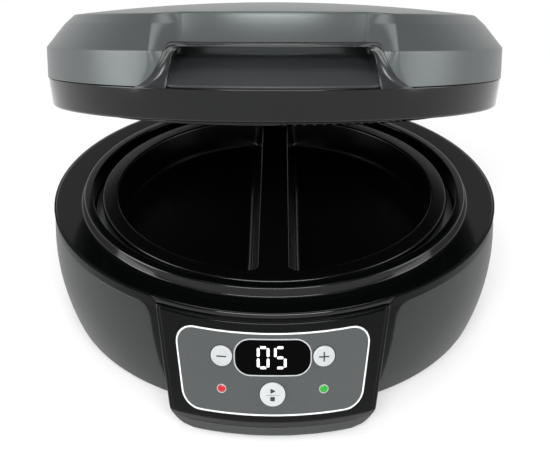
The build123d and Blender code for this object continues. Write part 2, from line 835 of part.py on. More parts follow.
def make_plate_bolts(seat, direction, plate_face):
    """Bolts from the shield through the stand-offs into the plate; direction points from head to tip."""
    tip = plate_face + direction * (plate_wall - thread_floor - bolt_end_gap)
    head = seat - direction * bolt_head_height
    return group([rod(thread_radius, min(seat, tip), max(seat, tip), x, y)
                  + rod(bolt_head_radius, min(seat, head), max(seat, head), x, y) for x, y in standoffs])


def make_sensor():
    top = lower_floor - seat_gap
    base = top - sensor_height
    return rod(sensor_radius, base, top, -sensor_across) + rod(sensor_stem_radius, base - sensor_stem, top, -sensor_across)


def make_fuse():
    place = Pos(fuse_across, 0, lower_floor - seat_gap - fuse_radius) * Rot(90, 0, 0)
    return place * Cylinder(fuse_radius, fuse_length) + place * Cylinder(lead_radius, fuse_length + 2 * lead_length)


# hinge
def make_hinge_housing():
    top = cover_top_z - panel_gap

    def side_profile(inset):
        return make_face(Polyline((housing_front - 2 * inset, foot_height),
                                  (housing_back - housing_bevel - inset, foot_height),
                                  (housing_back - inset, foot_height + housing_bevel),
                                  (housing_back - inset, top - 2 * housing_bevel),
                                  (housing_back - housing_bevel - inset, top - inset),
                                  (housing_front - 2 * inset, top - inset), close=True))

    body = extrude(Plane.YZ * side_profile(0), housing_half, both=True)
    body -= extrude(Plane.YZ * side_profile(housing_wall), housing_half - housing_wall, both=True)
    ear_low = top - over
    ear_face = make_face(Polyline((hinge_y - ear_radius, ear_low), (hinge_y + ear_radius, ear_low),
                                  (hinge_y + ear_radius, hinge_z), (hinge_y - ear_radius, hinge_z), close=True))
    ear_face += Pos(hinge_y, hinge_z) * Circle(ear_radius)
    ear = Pos(ear_start, 0, 0) * extrude(Plane.YZ * ear_face, ear_thick)
    housing = body - across_rod(barrel_radius + barrel_clearance, ear_start) + ear + mirror(ear, Plane.YZ)
    housing -= across_rod(pin_radius + pin_fit, pin_half + panel_gap / 2)
    housing -= gland_rod(gland_radius, housing_back - gland_length, housing_back + over)
    return housing - gland_rod(gland_flange_radius, housing_back - gland_flange, housing_back + over)


def make_pin():
    pin = across_rod(pin_radius, pin_half)
    return chamfer(pin.edges().filter_by(GeomType.CIRCLE), pin_chamfer)


def make_gland():
    inner = housing_back - gland_length
    body = gland_rod(gland_radius, inner, housing_back)
    body += gland_rod(gland_flange_radius, housing_back - gland_flange, housing_back)
    body += gland_rod(gland_radius + gland_collar_out, inner, inner + gland_collar)
    return body - gland_rod(gland_bore, inner - over, housing_back + over)


def make_arm():
    foot = block((2 * barrel_half, hinge_y - arm_front, arm_thick), 0, (arm_front + hinge_y) / 2, arm_low_z)
    web = block((2 * barrel_half, web_thick, web_height), 0, web_front + web_thick / 2, arm_low_z)
    web = fillet(web.edges().filter_by(Axis.X).group_by(Axis.Z)[-1], web_round)
    arm = across_rod(barrel_radius, barrel_half) + foot + web
    arm -= across_rod(pin_radius + arm_bore_clearance, barrel_half)
    for side in (-1, 1):
        arm -= across_rod(bush_radius, bush_length / 2, side * (barrel_half - bush_length / 2))
        arm -= rod(screw_radius + screw_clearance, 0, big, side * arm_screw_across, arm_screw_y)
        arm -= rod(screw_head_radius + screw_clearance, arm_low_z, arm_low_z + screw_head_height,
                   side * arm_screw_across, arm_screw_y)
    return arm


def make_bushes():
    bushes = []
    for side in (-1, 1):
        body = across_rod(bush_radius, bush_length / 2, side * (barrel_half - bush_length / 2))
        flange = across_rod(bush_flange_radius, bush_flange / 2, side * (barrel_half + bush_flange / 2))
        bushes.append(body + flange - across_rod(pin_radius + bush_fit, big))
    return group(bushes)


def make_arm_screws():
    return group([rod(screw_head_radius, arm_low_z, arm_low_z + screw_head_height, x, arm_screw_y)
                  + rod(screw_radius, arm_low_z, lid_z + arm_boss_height - over, x, arm_screw_y)
                  for x in (arm_screw_across, -arm_screw_across)])


# lid
def make_band():
    top = lid_z + band_height
    band = turned([(band_bore, lid_z), (band_low_radius - band_edge, lid_z), (band_low_radius, lid_z + band_edge),
                   (band_top_radius, top), (band_top_radius - band_wall, top),
                   (band_low_radius - band_wall, band_floor_z), (band_bore, band_floor_z)])
    for x in (arm_screw_across, -arm_screw_across):
        boss = rod(screw_radius + arm_boss_wall, lid_z + band_wall / 2, lid_z + arm_boss_height, x, arm_screw_y)
        band += boss & rod(band_low_radius - band_wall / 2, lid_z, big)
        band -= rod(screw_radius, lid_z, lid_z + arm_boss_height - thread_floor, x, arm_screw_y)
    for x, y in lid_columns:
        band -= rod(screw_radius + screw_clearance, lid_z, band_floor_z, x, y)
        band -= rod(screw_head_radius + screw_clearance, lid_z, lid_z + screw_head_height / 2, x, y)
    return band


def crown_body(wall, base):
    """Crown filled solid down to a level, pulled in by a wall thickness."""
    edge_radius, edge_z = shoulder_radius - wall * 0.4, shoulder_z - wall
    top_z = crown_top_z - wall
    rise = top_z - edge_z
    sphere = (edge_radius ** 2 + rise ** 2) / (2 * rise)
    half = math.asin(edge_radius / sphere) / 2
    middle = (sphere * math.sin(half), top_z - sphere * (1 - math.cos(half)))
    outline = Polyline((0, base), (crown_low_radius - wall, base), (ridge_radius - wall, ridge_z - wall * 0.4),
                       (facet_radius - wall * 0.65, facet_z - wall * 0.74), (edge_radius, edge_z))
    dome = ThreePointArc((edge_radius, edge_z), middle, (0, top_z))
    return revolve(make_face(Plane.XZ * (outline + dome + Line((0, top_z), (0, base)))), Axis.Z)


def scoop(wall):
    """Space cut out of the crown's front, grown by a wall thickness; only the outer face has soft corners."""
    far_z = crown_top_z + crown_wall * 4
    top = (scoop_radius - wall, scoop_z)
    waist = (waist_radius - wall * 0.9, waist_z - wall * 0.35)
    low = (crown_low_radius + scoop_overrun - wall * 1.25, crown_z)
    rest = Polyline(low, (low[0], crown_z - crown_wall), (big / 2, crown_z - crown_wall), (big / 2, far_z),
                    (top[0], far_z), top)
    angle = scoop_angle + math.degrees(wall / waist_radius)
    face = make_face(Plane.XZ * (ThreePointArc(top, waist, low) + rest))
    cutter = revolve(Rot(0, 0, -90 - angle) * face, Axis.Z, 2 * angle)
    corners = [edge for edge in cutter.edges().filter_by(GeomType.CIRCLE)
               if abs(edge.center().X) > scoop_round and math.hypot(edge.center().X, edge.center().Y) < rim_radius]
    return cutter if wall else fillet(corners, scoop_round)


def arch_prism():
    """Outer outline of the handle's trim: an arch that flares at its feet."""
    shoulder = crown_z + arch_flare
    wide = arch_half_low + arch_flare
    corners = [(-wide, crown_z - over), (-wide, crown_z), (-arch_half_low, shoulder), (-arch_half_top, arch_z)]
    corners += [(-x, z) for x, z in reversed(corners)]
    face = make_face(Polyline(*corners, close=True))
    face = fillet([v for v in face.vertices() if v.Y > arch_z - over / 2], arch_round)
    face = fillet([v for v in face.vertices() if abs(v.Y - shoulder) < over / 2], arch_round)
    return seen_from_front(face, -pocket_radius / 2)


def mouth_prism(grow=0.0):
    return seen_from_front(trapezoid(mouth_half_top + grow, mouth_half_low + grow, mouth_z + grow,
                                     crown_z - 2 * over - grow, 0, mouth_round + grow), -pocket_radius / 2)


def make_crown():
    inner = crown_body(crown_wall, crown_z - over) - scoop(crown_wall)
    shell = (crown_body(0, crown_z) - scoop(0)) - inner
    trim = (shell & arch_prism()) - mouth_prism()
    crown = shell - arch_prism()
    inside = crown_body(crown_wall / 2, band_floor_z)
    for x, y in lid_columns:
        crown += rod(lid_column_radius, band_floor_z, crown_top_z, x, y) & inside
        crown -= rod(pilot_radius, band_floor_z, band_floor_z + lid_pilot_depth, x, y)
    return crown, trim


def make_pocket():
    """Liner of the finger pocket: a floor that falls to the front, a back wall and a collar round the mouth."""
    front = band_top_radius
    back = pocket_radius - pocket_wall
    band_inside = band_top_radius - band_wall - rim_to_pod
    sill = crown_z + pocket_lip
    inside = front_sector([(pocket_radius, pocket_z), (front, sill), (big / 2, sill), (big / 2, big),
                           (pocket_radius, big)])
    outside = front_sector([(back, pocket_z - pocket_wall), (band_inside, crown_z - pocket_wall / 2),
                            (band_inside, crown_z), (front, crown_z), (front, big), (back, big)])
    collar = (outside & mouth_prism(pocket_wall)) - scoop(crown_wall)
    return collar + (outside & mouth_prism()) - (inside & mouth_prism())


def make_lid_screws():
    seat = lid_z + screw_head_height / 2
    return group([rod(screw_head_radius, seat - screw_head_height, seat, x, y)
                  + rod(screw_radius, seat - panel_gap, band_floor_z + lid_pilot_depth - cover_floor, x, y)
                  for x, y in lid_columns])


save(make_rim(), "base_rim")
cover_left, cover_right = make_side_covers()
save(cover_left, "side_cover_left")
save(cover_right, "side_cover_right")
save(make_pod_frame(), "pod_frame")
save(make_fascia(), "control_fascia")
save(make_overlay(), "panel_overlay")
save(make_panel_bezel(), "panel_bezel")
save(make_display_bezel(), "display_bezel")
save(make_display_window(), "display_window")
save(make_display_module(), "display_module")
for key in keys:
    save(make_key(key), f"{key}_button")
    save(make_plunger(key), f"{key}_plunger")
save(make_switches(), "tact_switches")
save(make_lamp("power"), "power_lamp")
save(make_lamp("ready"), "ready_lamp")
save(make_control_board(), "control_board")
save(make_board_screws(), "control_board_screws")
save(make_bottom_cover(), "bottom_cover")
save(make_feet(), "rubber_feet")
save(make_bottom_screws(), "bottom_screws")
save(make_power_board(), "power_board")
save(board_part(relay_size, relay_at), "power_relay")
save(make_power_screws(), "power_board_screws")
save(make_ribbon(), "ribbon_cable")
save(make_lower_plate(), "lower_plate")
save(heater(lower_heater_z, -tube_tail), "lower_heater")
save(make_clamps(lower_floor, -1), "lower_clamps")
save(shield(shelf_z, lower_shield_depth, -1), "lower_heat_shield")
save(make_standoffs(shelf_z - lower_shield_depth, lower_floor), "lower_standoffs")
save(make_plate_bolts(shelf_z - lower_shield_depth - sheet, 1, lower_floor), "lower_plate_screws")
save(make_sensor(), "temperature_sensor")
save(make_fuse(), "thermal_fuse")
save(make_hinge_housing(), "hinge_housing")
save(make_pin(), "hinge_pin")
save(make_gland(), "cord_gland")
lid_crown, handle_trim = make_crown()
save_lid(lid_crown, "lid_crown")
save_lid(handle_trim, "handle_trim")
save_lid(make_pocket(), "handle_pocket")
save_lid(make_band(), "lid_band")
save_lid(make_lid_screws(), "lid_screws")
save_lid(make_upper_plate(), "upper_plate")
save_lid(heater(upper_heater_z, tube_tail), "upper_heater")
save_lid(make_clamps(upper_floor, 1), "upper_clamps")
save_lid(shield(upper_seat_z, upper_shield_depth, 1), "upper_heat_shield")
save_lid(make_standoffs(upper_floor, upper_seat_z + upper_shield_depth), "upper_standoffs")
save_lid(make_plate_bolts(upper_seat_z + upper_shield_depth + sheet, -1, upper_floor), "upper_plate_screws")
save_lid(make_arm(), "lid_hinge_arm")
save_lid(make_bushes(), "hinge_bushes")
save_lid(make_arm_screws(), "hinge_arm_screws")
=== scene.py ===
import bmesh
import bpy
import math
import numpy as np
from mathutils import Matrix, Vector
from mathutils.geometry import delaunay_2d_cdt


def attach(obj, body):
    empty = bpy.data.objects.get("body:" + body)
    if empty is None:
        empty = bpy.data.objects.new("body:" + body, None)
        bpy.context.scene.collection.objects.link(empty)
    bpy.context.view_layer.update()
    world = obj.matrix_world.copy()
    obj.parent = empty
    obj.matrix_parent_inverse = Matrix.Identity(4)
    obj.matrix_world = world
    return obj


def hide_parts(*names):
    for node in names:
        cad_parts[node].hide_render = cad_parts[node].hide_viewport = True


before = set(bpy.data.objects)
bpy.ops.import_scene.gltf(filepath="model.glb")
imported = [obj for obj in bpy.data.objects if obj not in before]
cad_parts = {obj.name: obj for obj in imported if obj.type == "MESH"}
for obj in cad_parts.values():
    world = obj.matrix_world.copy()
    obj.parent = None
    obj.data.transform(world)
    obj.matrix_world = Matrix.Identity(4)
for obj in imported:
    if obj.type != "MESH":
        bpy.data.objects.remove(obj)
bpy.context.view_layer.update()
print("frame loaded:", len(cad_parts), "nodes")

# lengths are millimetres in the CAD frame where no comment says metres; meshes are stored in metres
toMetres = 0.001
# a rounded corner: half angle above which it is left as it is, and the share of a leg that its arc may take
cornerLimits = {"straight": 1.565, "legShare": 0.49}


def smoothStep(x):
    # 3 t^2 - 2 t^3, with t held between 0 and 1
    t = np.clip(x, 0.0, 1.0)
    return t * t * (3 - 2 * t)


def stepped(marks, counts):
    # even steps from mark to mark, each run with a count of its own and every mark once
    runs = [np.linspace(a, b, count, axis=-1)[..., :-1] for a, b, count in zip(marks, marks[1:], counts)]
    return np.concatenate(runs + [np.asarray(marks[-1], float)[..., None]], axis=-1)


def evenAround(count=240):
    # azimuths in degrees, evenly round the circle
    return np.arange(count) * 360.0 / count


def roundedPath(points, radii, steps=8):
    # a polyline whose corners are replaced by arcs tangent to both of their legs
    points = [np.array(p, float) for p in points]
    out = [points[0][None, :]]
    for before, corner, after, radius in zip(points, points[1:], points[2:], radii):
        legs = [np.linalg.norm(before - corner), np.linalg.norm(after - corner)]
        a, b = (before - corner) / legs[0], (after - corner) / legs[1]
        half = math.acos(np.clip(np.dot(a, b), -1, 1)) / 2
        if radius <= 0 or half > cornerLimits["straight"]:
            out.append(corner[None, :])
            continue
        cut = min(radius / math.tan(half), cornerLimits["legShare"] * min(legs))
        size = cut * math.tan(half)
        centre = corner + (a + b) / np.linalg.norm(a + b) * size / math.sin(half)
        start, finish = corner + a * cut - centre, corner + b * cut - centre
        turn = math.pi - 2 * half
        t = np.linspace(0, 1, steps)[:, None]
        out.append(centre + (np.sin((1 - t) * turn) * start + np.sin(t * turn) * finish) / math.sin(turn))
    out.append(points[-1][None, :])
    return np.vstack(out)


def roundedLoop(points, radii, steps=10):
    # the same for a closed outline: every corner becomes a tangent arc
    if np.isscalar(radii):
        radii = [radii] * len(points)
    wrapped = [points[-1]] + list(points) + [points[0]]
    return roundedPath(wrapped, radii, steps)[1:-1]


def denseRuns(path, gap):
    # each leg of a path in even steps of one to two gaps, or whole where it is shorter; a leg's last point is
    # left out
    counts = [max(2, int(np.linalg.norm(b - a) / gap) + 1) for a, b in zip(path, path[1:])]
    return np.vstack([np.linspace(a, b, count)[:-1] for a, b, count in zip(path, path[1:], counts)])


def denseProfile(points, radii, gap):
    # rounded profile with extra rows, one to two gaps apart, along its straight runs
    path = roundedPath(points, radii)
    return np.vstack([denseRuns(path, gap), path[-1:]])


def resampled(path, count, closed=False):
    # points at even arc length along a polyline
    path = np.vstack([path, path[:1]]) if closed else np.asarray(path, float)
    length = np.concatenate([[0], np.cumsum(np.linalg.norm(np.diff(path, axis=0), axis=1))])
    at = np.linspace(0, length[-1], count + 1)[:-1] if closed else np.linspace(0, length[-1], count)
    return np.stack([np.interp(at, length, path[:, k]) for k in range(path.shape[1])], axis=1)


def mirroredPath(half):
    # a half outline that ends on the middle line, then its mirror image back again
    return np.vstack([half, (half[::-1] * np.array([-1, 1]))[1:]])


def circleThrough(a, b, c):
    # centre and radius of the circle through three (radius, height) points
    a, b, c = (np.array(p, float) for p in (a, b, c))
    left = 2 * np.array([b - a, c - a])
    right = np.array([np.dot(b, b) - np.dot(a, a), np.dot(c, c) - np.dot(a, a)])
    centre = np.linalg.solve(left, right)
    return centre, np.linalg.norm(a - centre)


def facesMesh(points, faces):
    # a mesh in metres from points in millimetres and lists of their indices
    mesh = bpy.data.meshes.new("skin")
    mesh.from_pydata((np.asarray(points, float) * toMetres).tolist(), [], [list(map(int, f)) for f in faces])
    mesh.update()
    return mesh


def gridMesh(grid, aroundRows=False, aroundColumns=False, flip=False, capLast=False, capRows=False):
    # quads between neighbouring grid points, wrapping where a direction is closed; caps close the last
    # column, or the first and last rows
    rows, columns = grid.shape[:2]
    i = np.arange(rows if aroundRows else rows - 1)[:, None]
    j = np.arange(columns if aroundColumns else columns - 1)[None, :]
    iNext, jNext = (i + 1) % rows, (j + 1) % columns
    corners = [i * columns + j, iNext * columns + j, iNext * columns + jNext, i * columns + jNext]
    faces = np.stack(corners, axis=-1).reshape(-1, 4).tolist()
    if capRows:
        faces += [list(range(columns)), [(rows - 1) * columns + k for k in range(columns)][::-1]]
    if capLast:
        faces.append([k * columns + columns - 1 for k in range(rows)])
    return facesMesh(grid.reshape(-1, 3), [f[::-1] for f in faces] if flip else faces)


def prismFaces(count, start=0):
    # caps and side quads for a loop of points that is followed by its copy at the other end
    ring = list(range(start, start + count))
    sides = [[b, a, a + count, b + count] for a, b in zip(ring, ring[1:] + ring[:1])]
    return [ring, [k + count for k in ring][::-1]] + sides


def loopEdges(loops):
    # pairs of indices round closed loops whose points are stacked one loop after another
    edges, start = [], 0
    for loop in loops:
        count = len(loop)
        edges += [(start + k, start + (k + 1) % count) for k in range(count)]
        start += count
    return edges


def latheGrid(profile, azimuths):
    # each (radius, height) of the profile carried round Z; azimuth 0 looks at the front, -Y
    profile = np.asarray(profile, float)
    r, z = profile[None, :, 0], profile[None, :, 1]
    a = np.radians(azimuths)[:, None]
    return np.stack([r * np.sin(a), -r * np.cos(a), z + 0 * a], axis=-1)


def turnedLoop(corners, rounds):
    # a closed profile with rounded corners, turned all the way round Z
    return latheGrid(roundedLoop(corners, rounds, steps=9), evenAround(300))


def weldedMesh(mesh, distance=1e-6):
    # points nearer than the distance, in metres, become one, and all faces look outwards
    work = bmesh.new()
    work.from_mesh(mesh)
    bmesh.ops.remove_doubles(work, verts=work.verts, dist=distance)
    bmesh.ops.recalc_face_normals(work, faces=work.faces)
    work.to_mesh(mesh)
    work.free()
    mesh.update()
    return mesh


def closedMesh(grid):
    # a grid that is closed both ways, as one welded tube
    return weldedMesh(gridMesh(grid, aroundRows=True, aroundColumns=True))


def cutMesh(mesh, cutter):
    # the first shape less the second, both closed
    holder, tool = (bpy.data.objects.new("cutWork", data) for data in (mesh, cutter))
    for work in (holder, tool):
        bpy.context.scene.collection.objects.link(work)
    cut = holder.modifiers.new("cut", "BOOLEAN")
    cut.operation = "DIFFERENCE"
    cut.solver = "EXACT"
    cut.object = tool
    graph = bpy.context.evaluated_depsgraph_get()
    result = bpy.data.meshes.new_from_object(holder.evaluated_get(graph))
    for work in (holder, tool):
        bpy.data.objects.remove(work)
    return result


def hexColor(code):
    # sRGB hex to linear: c / 12.92 in the toe, ((c + 0.055) / 1.055) ^ 2.4 above it
    parts = np.array([int(code[i:i + 2], 16) for i in (1, 3, 5)]) / 255.0
    linear = np.where(parts <= 0.04045, parts / 12.92, ((parts + 0.055) / 1.055) ** 2.4)
    return (*(float(c) for c in linear), 1.0)


def emptyTree(owner):
    # the node tree of a material or a world, with nothing in it yet
    owner.use_nodes = True
    owner.node_tree.nodes.clear()
    return owner.node_tree


def addNode(tree, kind, settings=None, links=None):
    # one node, its plain settings, its socket values and its incoming links
    node = tree.nodes.new(kind)
    for key, value in (settings or {}).items():
        if isinstance(key, int) or key in node.inputs:
            node.inputs[key].default_value = value
        else:
            setattr(node, key, value)
    for socket, source in (links or {}).items():
        tree.links.new(source, node.inputs[socket])
    return node


def mapRange(tree, value, source, target, kind="LINEAR"):
    # a value carried from one range to another and held at its ends
    settings = {"interpolation_type": kind, "From Min": source[0], "From Max": source[1],
                "To Min": target[0], "To Max": target[1]}
    return addNode(tree, "ShaderNodeMapRange", settings, {"Value": value}).outputs["Result"]


def combined(tree, operation, first, second):
    # two values joined by one arithmetic step
    return addNode(tree, "ShaderNodeMath", {"operation": operation}, {0: first, 1: second}).outputs["Value"]


# how noise drives a skin: detail of both noises, the fine one's share, and the levels between which the
# noise carries the tone and the roughness
skinNoise = {"fineDetail": 3.0, "fineRoughness": 0.55, "broadDetail": 2.0, "fineShare": 0.35,
             "toneLevels": (0.42, 0.92), "roughLevels": (0.3, 0.7), "leastRough": 0.02}


def surface(name, base, roughness, grain=0.4, bump=0.02, spread=0.06, metallic=0.0, specular=0.5, tone=0.12,
            toneSize=40.0, emission=None, emissionStrength=0.0):
    # colour = base x (1 -/+ tone) by fine and broad noise, roughness -/+ spread by fine noise, which also
    # lifts a shallow bump; grain, tone size and bump are in mm
    n = skinNoise
    material = bpy.data.materials.new(name)
    tree = emptyTree(material)
    place = addNode(tree, "ShaderNodeTexCoord").outputs["Object"]
    noises = ({"Scale": 1 / toMetres / grain, "Detail": n["fineDetail"], "Roughness": n["fineRoughness"]},
              {"Scale": 1 / toMetres / toneSize, "Detail": n["broadDetail"]})
    fine, broad = (addNode(tree, "ShaderNodeTexNoise", noise, {"Vector": place}).outputs["Fac"]
                   for noise in noises)
    mixed = addNode(tree, "ShaderNodeMath", {"operation": "MULTIPLY_ADD", 1: n["fineShare"]},
                    {0: fine, 2: broad})
    ramp = addNode(tree, "ShaderNodeValToRGB", {}, {"Fac": mixed.outputs["Value"]})
    for element, level, factor in zip(ramp.color_ramp.elements, n["toneLevels"], (1 - tone, 1 + tone)):
        element.position = level
        element.color = tuple(min(1.0, c * factor) for c in hexColor(base)[:3]) + (1.0,)
    ends = (max(n["leastRough"], roughness - spread), min(1.0, roughness + spread))
    shader = addNode(tree, "ShaderNodeBsdfPrincipled", {"Metallic": metallic, "Specular IOR Level": specular},
                     {"Base Color": ramp.outputs["Color"],
                      "Roughness": mapRange(tree, fine, n["roughLevels"], ends)})
    if emission:
        shader.inputs["Emission Color"].default_value = hexColor(emission)
        shader.inputs["Emission Strength"].default_value = emissionStrength
    if bump:
        relief = addNode(tree, "ShaderNodeBump", {"Strength": 1.0, "Distance": bump * toMetres},
                         {"Height": fine})
        tree.links.new(relief.outputs["Normal"], shader.inputs["Normal"])
    addNode(tree, "ShaderNodeOutputMaterial", {}, {"Surface": shader.outputs["BSDF"]})
    material.diffuse_color = hexColor(base)
    return material


finishSettings = {
    # polished-mould ABS: nearly black, a mirror-like skin with a faint orange peel
    "glossAbs": dict(base="#050606", roughness=0.12, grain=2.5, bump=0.002, spread=0.02, specular=0.4),
    # painted reflection on the pod's chin: a lighter satin base colour stands in for the light that comes off
    # the table
    "chinPaintedReflection": dict(base="#2f3132", roughness=0.34, grain=0.8, bump=0.003, spread=0.04),
    # the gloss ABS from a finer mould for the pod: deeper black
    "podAbs": dict(base="#050606", roughness=0.16, grain=2.5, bump=0.002, spread=0.02, specular=0.14),
    # satin black ABS of the rim's skirt and cheeks
    "borderAbs": dict(base="#0b0c0d", roughness=0.4, grain=0.8, bump=0.004, spread=0.05, specular=0.08),
    # spark-eroded graphite ABS of the side covers: a fine texture that spreads a highlight
    "graphiteAbs": dict(base="#282a2a", roughness=0.4, grain=0.6, bump=0.006, spread=0.04, specular=0.25,
                        tone=0.06),
    # satin gunmetal lacquer over moulded ABS: half metallic, from the small flakes in it
    "gunmetalLacquer": dict(base="#595d5d", roughness=0.33, grain=0.5, bump=0.002, spread=0.04, metallic=0.5,
                            tone=0.025, specular=0.12),
    # the handle's arch, moulded in a darker grey with a satin skin
    "trimAbs": dict(base="#262829", roughness=0.25, grain=0.6, bump=0.003, spread=0.03),
    # spark-eroded charcoal ABS inside the finger pocket
    "pocketAbs": dict(base="#303133", roughness=0.42, grain=0.7, bump=0.006, spread=0.05, specular=0.35),
    # matte moulded ABS of the hinge housing and the floor of the base
    "mouldedAbs": dict(base="#151617", roughness=0.45, grain=0.7, spread=0.08, specular=0.35),
    # sprayed PTFE on die-cast aluminium: black, slightly pebbled, a soft sheen
    "nonStickCoat": dict(base="#060607", roughness=0.2, grain=0.9, bump=0.0015, spread=0.02, specular=0.4),
    # nickel alloy sheath of the heating tube, dulled by heat
    "heaterTube": dict(base="#8a7f74", roughness=0.35, grain=1.2, metallic=1.0),
    # bright zinc plating on rolled steel
    "zincSteel": dict(base="#b9bab8", roughness=0.33, grain=0.8, bump=0.01, metallic=1.0),
    # aluminised steel sheet: a frosty spangle from the dip
    "aluminisedSheet": dict(base="#b4b6b7", roughness=0.4, grain=1.5, bump=0.01, metallic=1.0),
    # reverse-printed polycarbonate film: grey metallic ink seen as a fine even speckle
    "printedFilm": dict(base="#454848", roughness=0.36, grain=0.6, bump=0.004, spread=0.05, tone=0.28,
                        toneSize=400.0, specular=0.25),
    # light grey ABS of the fine rings round the display and the lamps
    "ringAbs": dict(base="#b4b8ba", roughness=0.3, grain=0.8, bump=0.004, tone=0.03),
    # white ABS rib, moulded smooth
    "whiteRib": dict(base="#e4e6e6", roughness=0.3, grain=0.8, bump=0.004, tone=0.02),
    # pearl-painted keys with a light spark texture
    "pearlKey": dict(base="#b9bcbe", roughness=0.34, grain=0.9, spread=0.08, tone=0.1, metallic=0.15),
    # smoked acrylic window: black and mirror-smooth
    "smokedLens": dict(base="#000000", roughness=0.06, grain=3.0, bump=0.0, spread=0.01, tone=0.02,
                       specular=0.05),
    # white diffused light of the display's bars
    "digitLight": dict(base="#f5f5f2", roughness=0.4, grain=0.8, bump=0.0, emission="#f5f5f2",
                       emissionStrength=0.75),
    # dark grey pad-printing ink on the keys
    "keyInk": dict(base="#26282a", roughness=0.4, grain=0.6, bump=0.0),
    # clear tinted acrylic of the two lamps, lit from behind
    "redLens": dict(base="#a80e13", roughness=0.15, grain=0.8, bump=0.0, emission="#d01018",
                    emissionStrength=0.25),
    "greenLens": dict(base="#0d8a16", roughness=0.15, grain=0.8, bump=0.0, emission="#10b81e",
                      emissionStrength=0.25),
    # green solder mask over glass-epoxy board
    "solderMask": dict(base="#1d5b31", roughness=0.35, grain=1.0, bump=0.01, tone=0.2),
    # black epoxy of moulded components
    "componentResin": dict(base="#1c1d1f", roughness=0.5, grain=0.6, bump=0.01),
    # unpigmented nylon of the plungers and bushes
    "naturalNylon": dict(base="#d9d6cb", roughness=0.45, grain=0.6, bump=0.01),
    # extruded grey PVC of the ribbon, one ridge a conductor
    "ribbonPvc": dict(base="#9a9c9e", roughness=0.45, grain=1.27, bump=0.03),
    # moulded rubber: black, dry and dull
    "mouldedRubber": dict(base="#1a1a1a", roughness=0.7, grain=0.5),
}
finishes = {name: surface(name, **settings) for name, settings in finishSettings.items()}
print("materials:", len(finishes))


def newPiece(name, mesh, finish, body, stands=(), sharp=35.0):
    # a piece that rides a body and may stand for CAD nodes; edges sharper than the angle stay crisp
    mesh.name = name + "Skin"
    mesh.validate()
    mesh.shade_smooth()
    if sharp:
        mesh.set_sharp_from_angle(angle=math.radians(sharp))
    piece = bpy.data.objects.new(name, mesh)
    bpy.context.scene.collection.objects.link(piece)
    mesh.materials.clear()
    mesh.materials.append(finishes[finish])
    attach(piece, body)
    if stands:
        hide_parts(*stands)
    return piece


def secondFinish(mesh, finish, chosen):
    # another finish for the chosen faces
    mesh.materials.append(finishes[finish])
    mesh.polygons.foreach_set("material_index", chosen.astype(np.int32))


def addWall(piece, thickness):
    # the skin becomes a shell that grows inwards
    wall = piece.modifiers.new("wall", "SOLIDIFY")
    wall.thickness = thickness * toMetres
    wall.offset = -1
    return piece


def addEvenNormals(piece, weight, keepSharp):
    # large faces lead the shading of the small ones beside them
    even = piece.modifiers.new("evenNormals", "WEIGHTED_NORMAL")
    even.keep_sharp = keepSharp
    even.weight = weight
    return piece


def copiedNode(name, node, finish, body):
    # a CAD node's own shape with its triangles welded, so that its curves shade smoothly
    mesh = weldedMesh(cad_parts[node].data.copy())
    return addEvenNormals(newPiece(name, mesh, finish, body, (node,), sharp=30.0), weight=90, keepSharp=True)


# the floor's half width and the distances from the middle between which it turns white (m), and what direct
# rays get of that white at the nearer one; the world's even fill, the heights between which its white gives
# way to the ceiling, and the ceiling's level; the paper's fibre
studio = {"floorHalf": 6.0, "shadowRoom": 0.17, "farWhite": 0.45, "liftOfWhite": 0.25, "ambient": 0.24,
          "sweepTop": 0.2, "ceilingLow": 0.62, "ceiling": 0.1,
          "fibreScale": 900.0, "fibreDetail": 2.0, "fibreDark": 0.97}


def directShare(tree):
    # 1 on the rays that show the backdrop itself: to the camera, through glass and in a mirror
    path = addNode(tree, "ShaderNodeLightPath").outputs
    seen = combined(tree, "MAXIMUM", path["Is Camera Ray"], path["Is Transmission Ray"])
    return combined(tree, "MAXIMUM", seen, path["Is Glossy Ray"])


def makeFloor():
    # a pale sweep: diffuse paper that keeps the shadow, mixed with plain white for direct rays by distance
    s = studio
    line = np.linspace(-1, 1, 5)
    grid = np.stack(np.meshgrid(line, line, [0.0], indexing="ij"), axis=-1)[:, :, 0, :]
    mesh = gridMesh(grid * s["floorHalf"] / toMetres)
    floor = bpy.data.objects.new("studioFloor", mesh)
    bpy.context.scene.collection.objects.link(floor)
    material = bpy.data.materials.new("paperSweep")
    tree = emptyTree(material)
    place = addNode(tree, "ShaderNodeTexCoord").outputs["Object"]
    fibre = addNode(tree, "ShaderNodeTexNoise", {"Scale": s["fibreScale"], "Detail": s["fibreDetail"]},
                    {"Vector": place}).outputs["Fac"]
    tint = mapRange(tree, fibre, (0.0, 1.0), (s["fibreDark"], 1.0))
    paper = addNode(tree, "ShaderNodeBsdfDiffuse", {}, {"Color": tint})
    glow = addNode(tree, "ShaderNodeEmission", {"Color": (1, 1, 1, 1), "Strength": 1.0})
    away = addNode(tree, "ShaderNodeVectorMath", {"operation": "LENGTH"}, {0: place}).outputs["Value"]
    lift = mapRange(tree, away, (s["shadowRoom"], s["farWhite"]), (s["liftOfWhite"], 1.0), "SMOOTHSTEP")
    mix = addNode(tree, "ShaderNodeMixShader", {}, {0: combined(tree, "MULTIPLY", directShare(tree), lift),
                                                   1: paper.outputs["BSDF"], 2: glow.outputs["Emission"]})
    addNode(tree, "ShaderNodeOutputMaterial", {}, {"Surface": mix.outputs["Shader"]})
    mesh.materials.append(material)


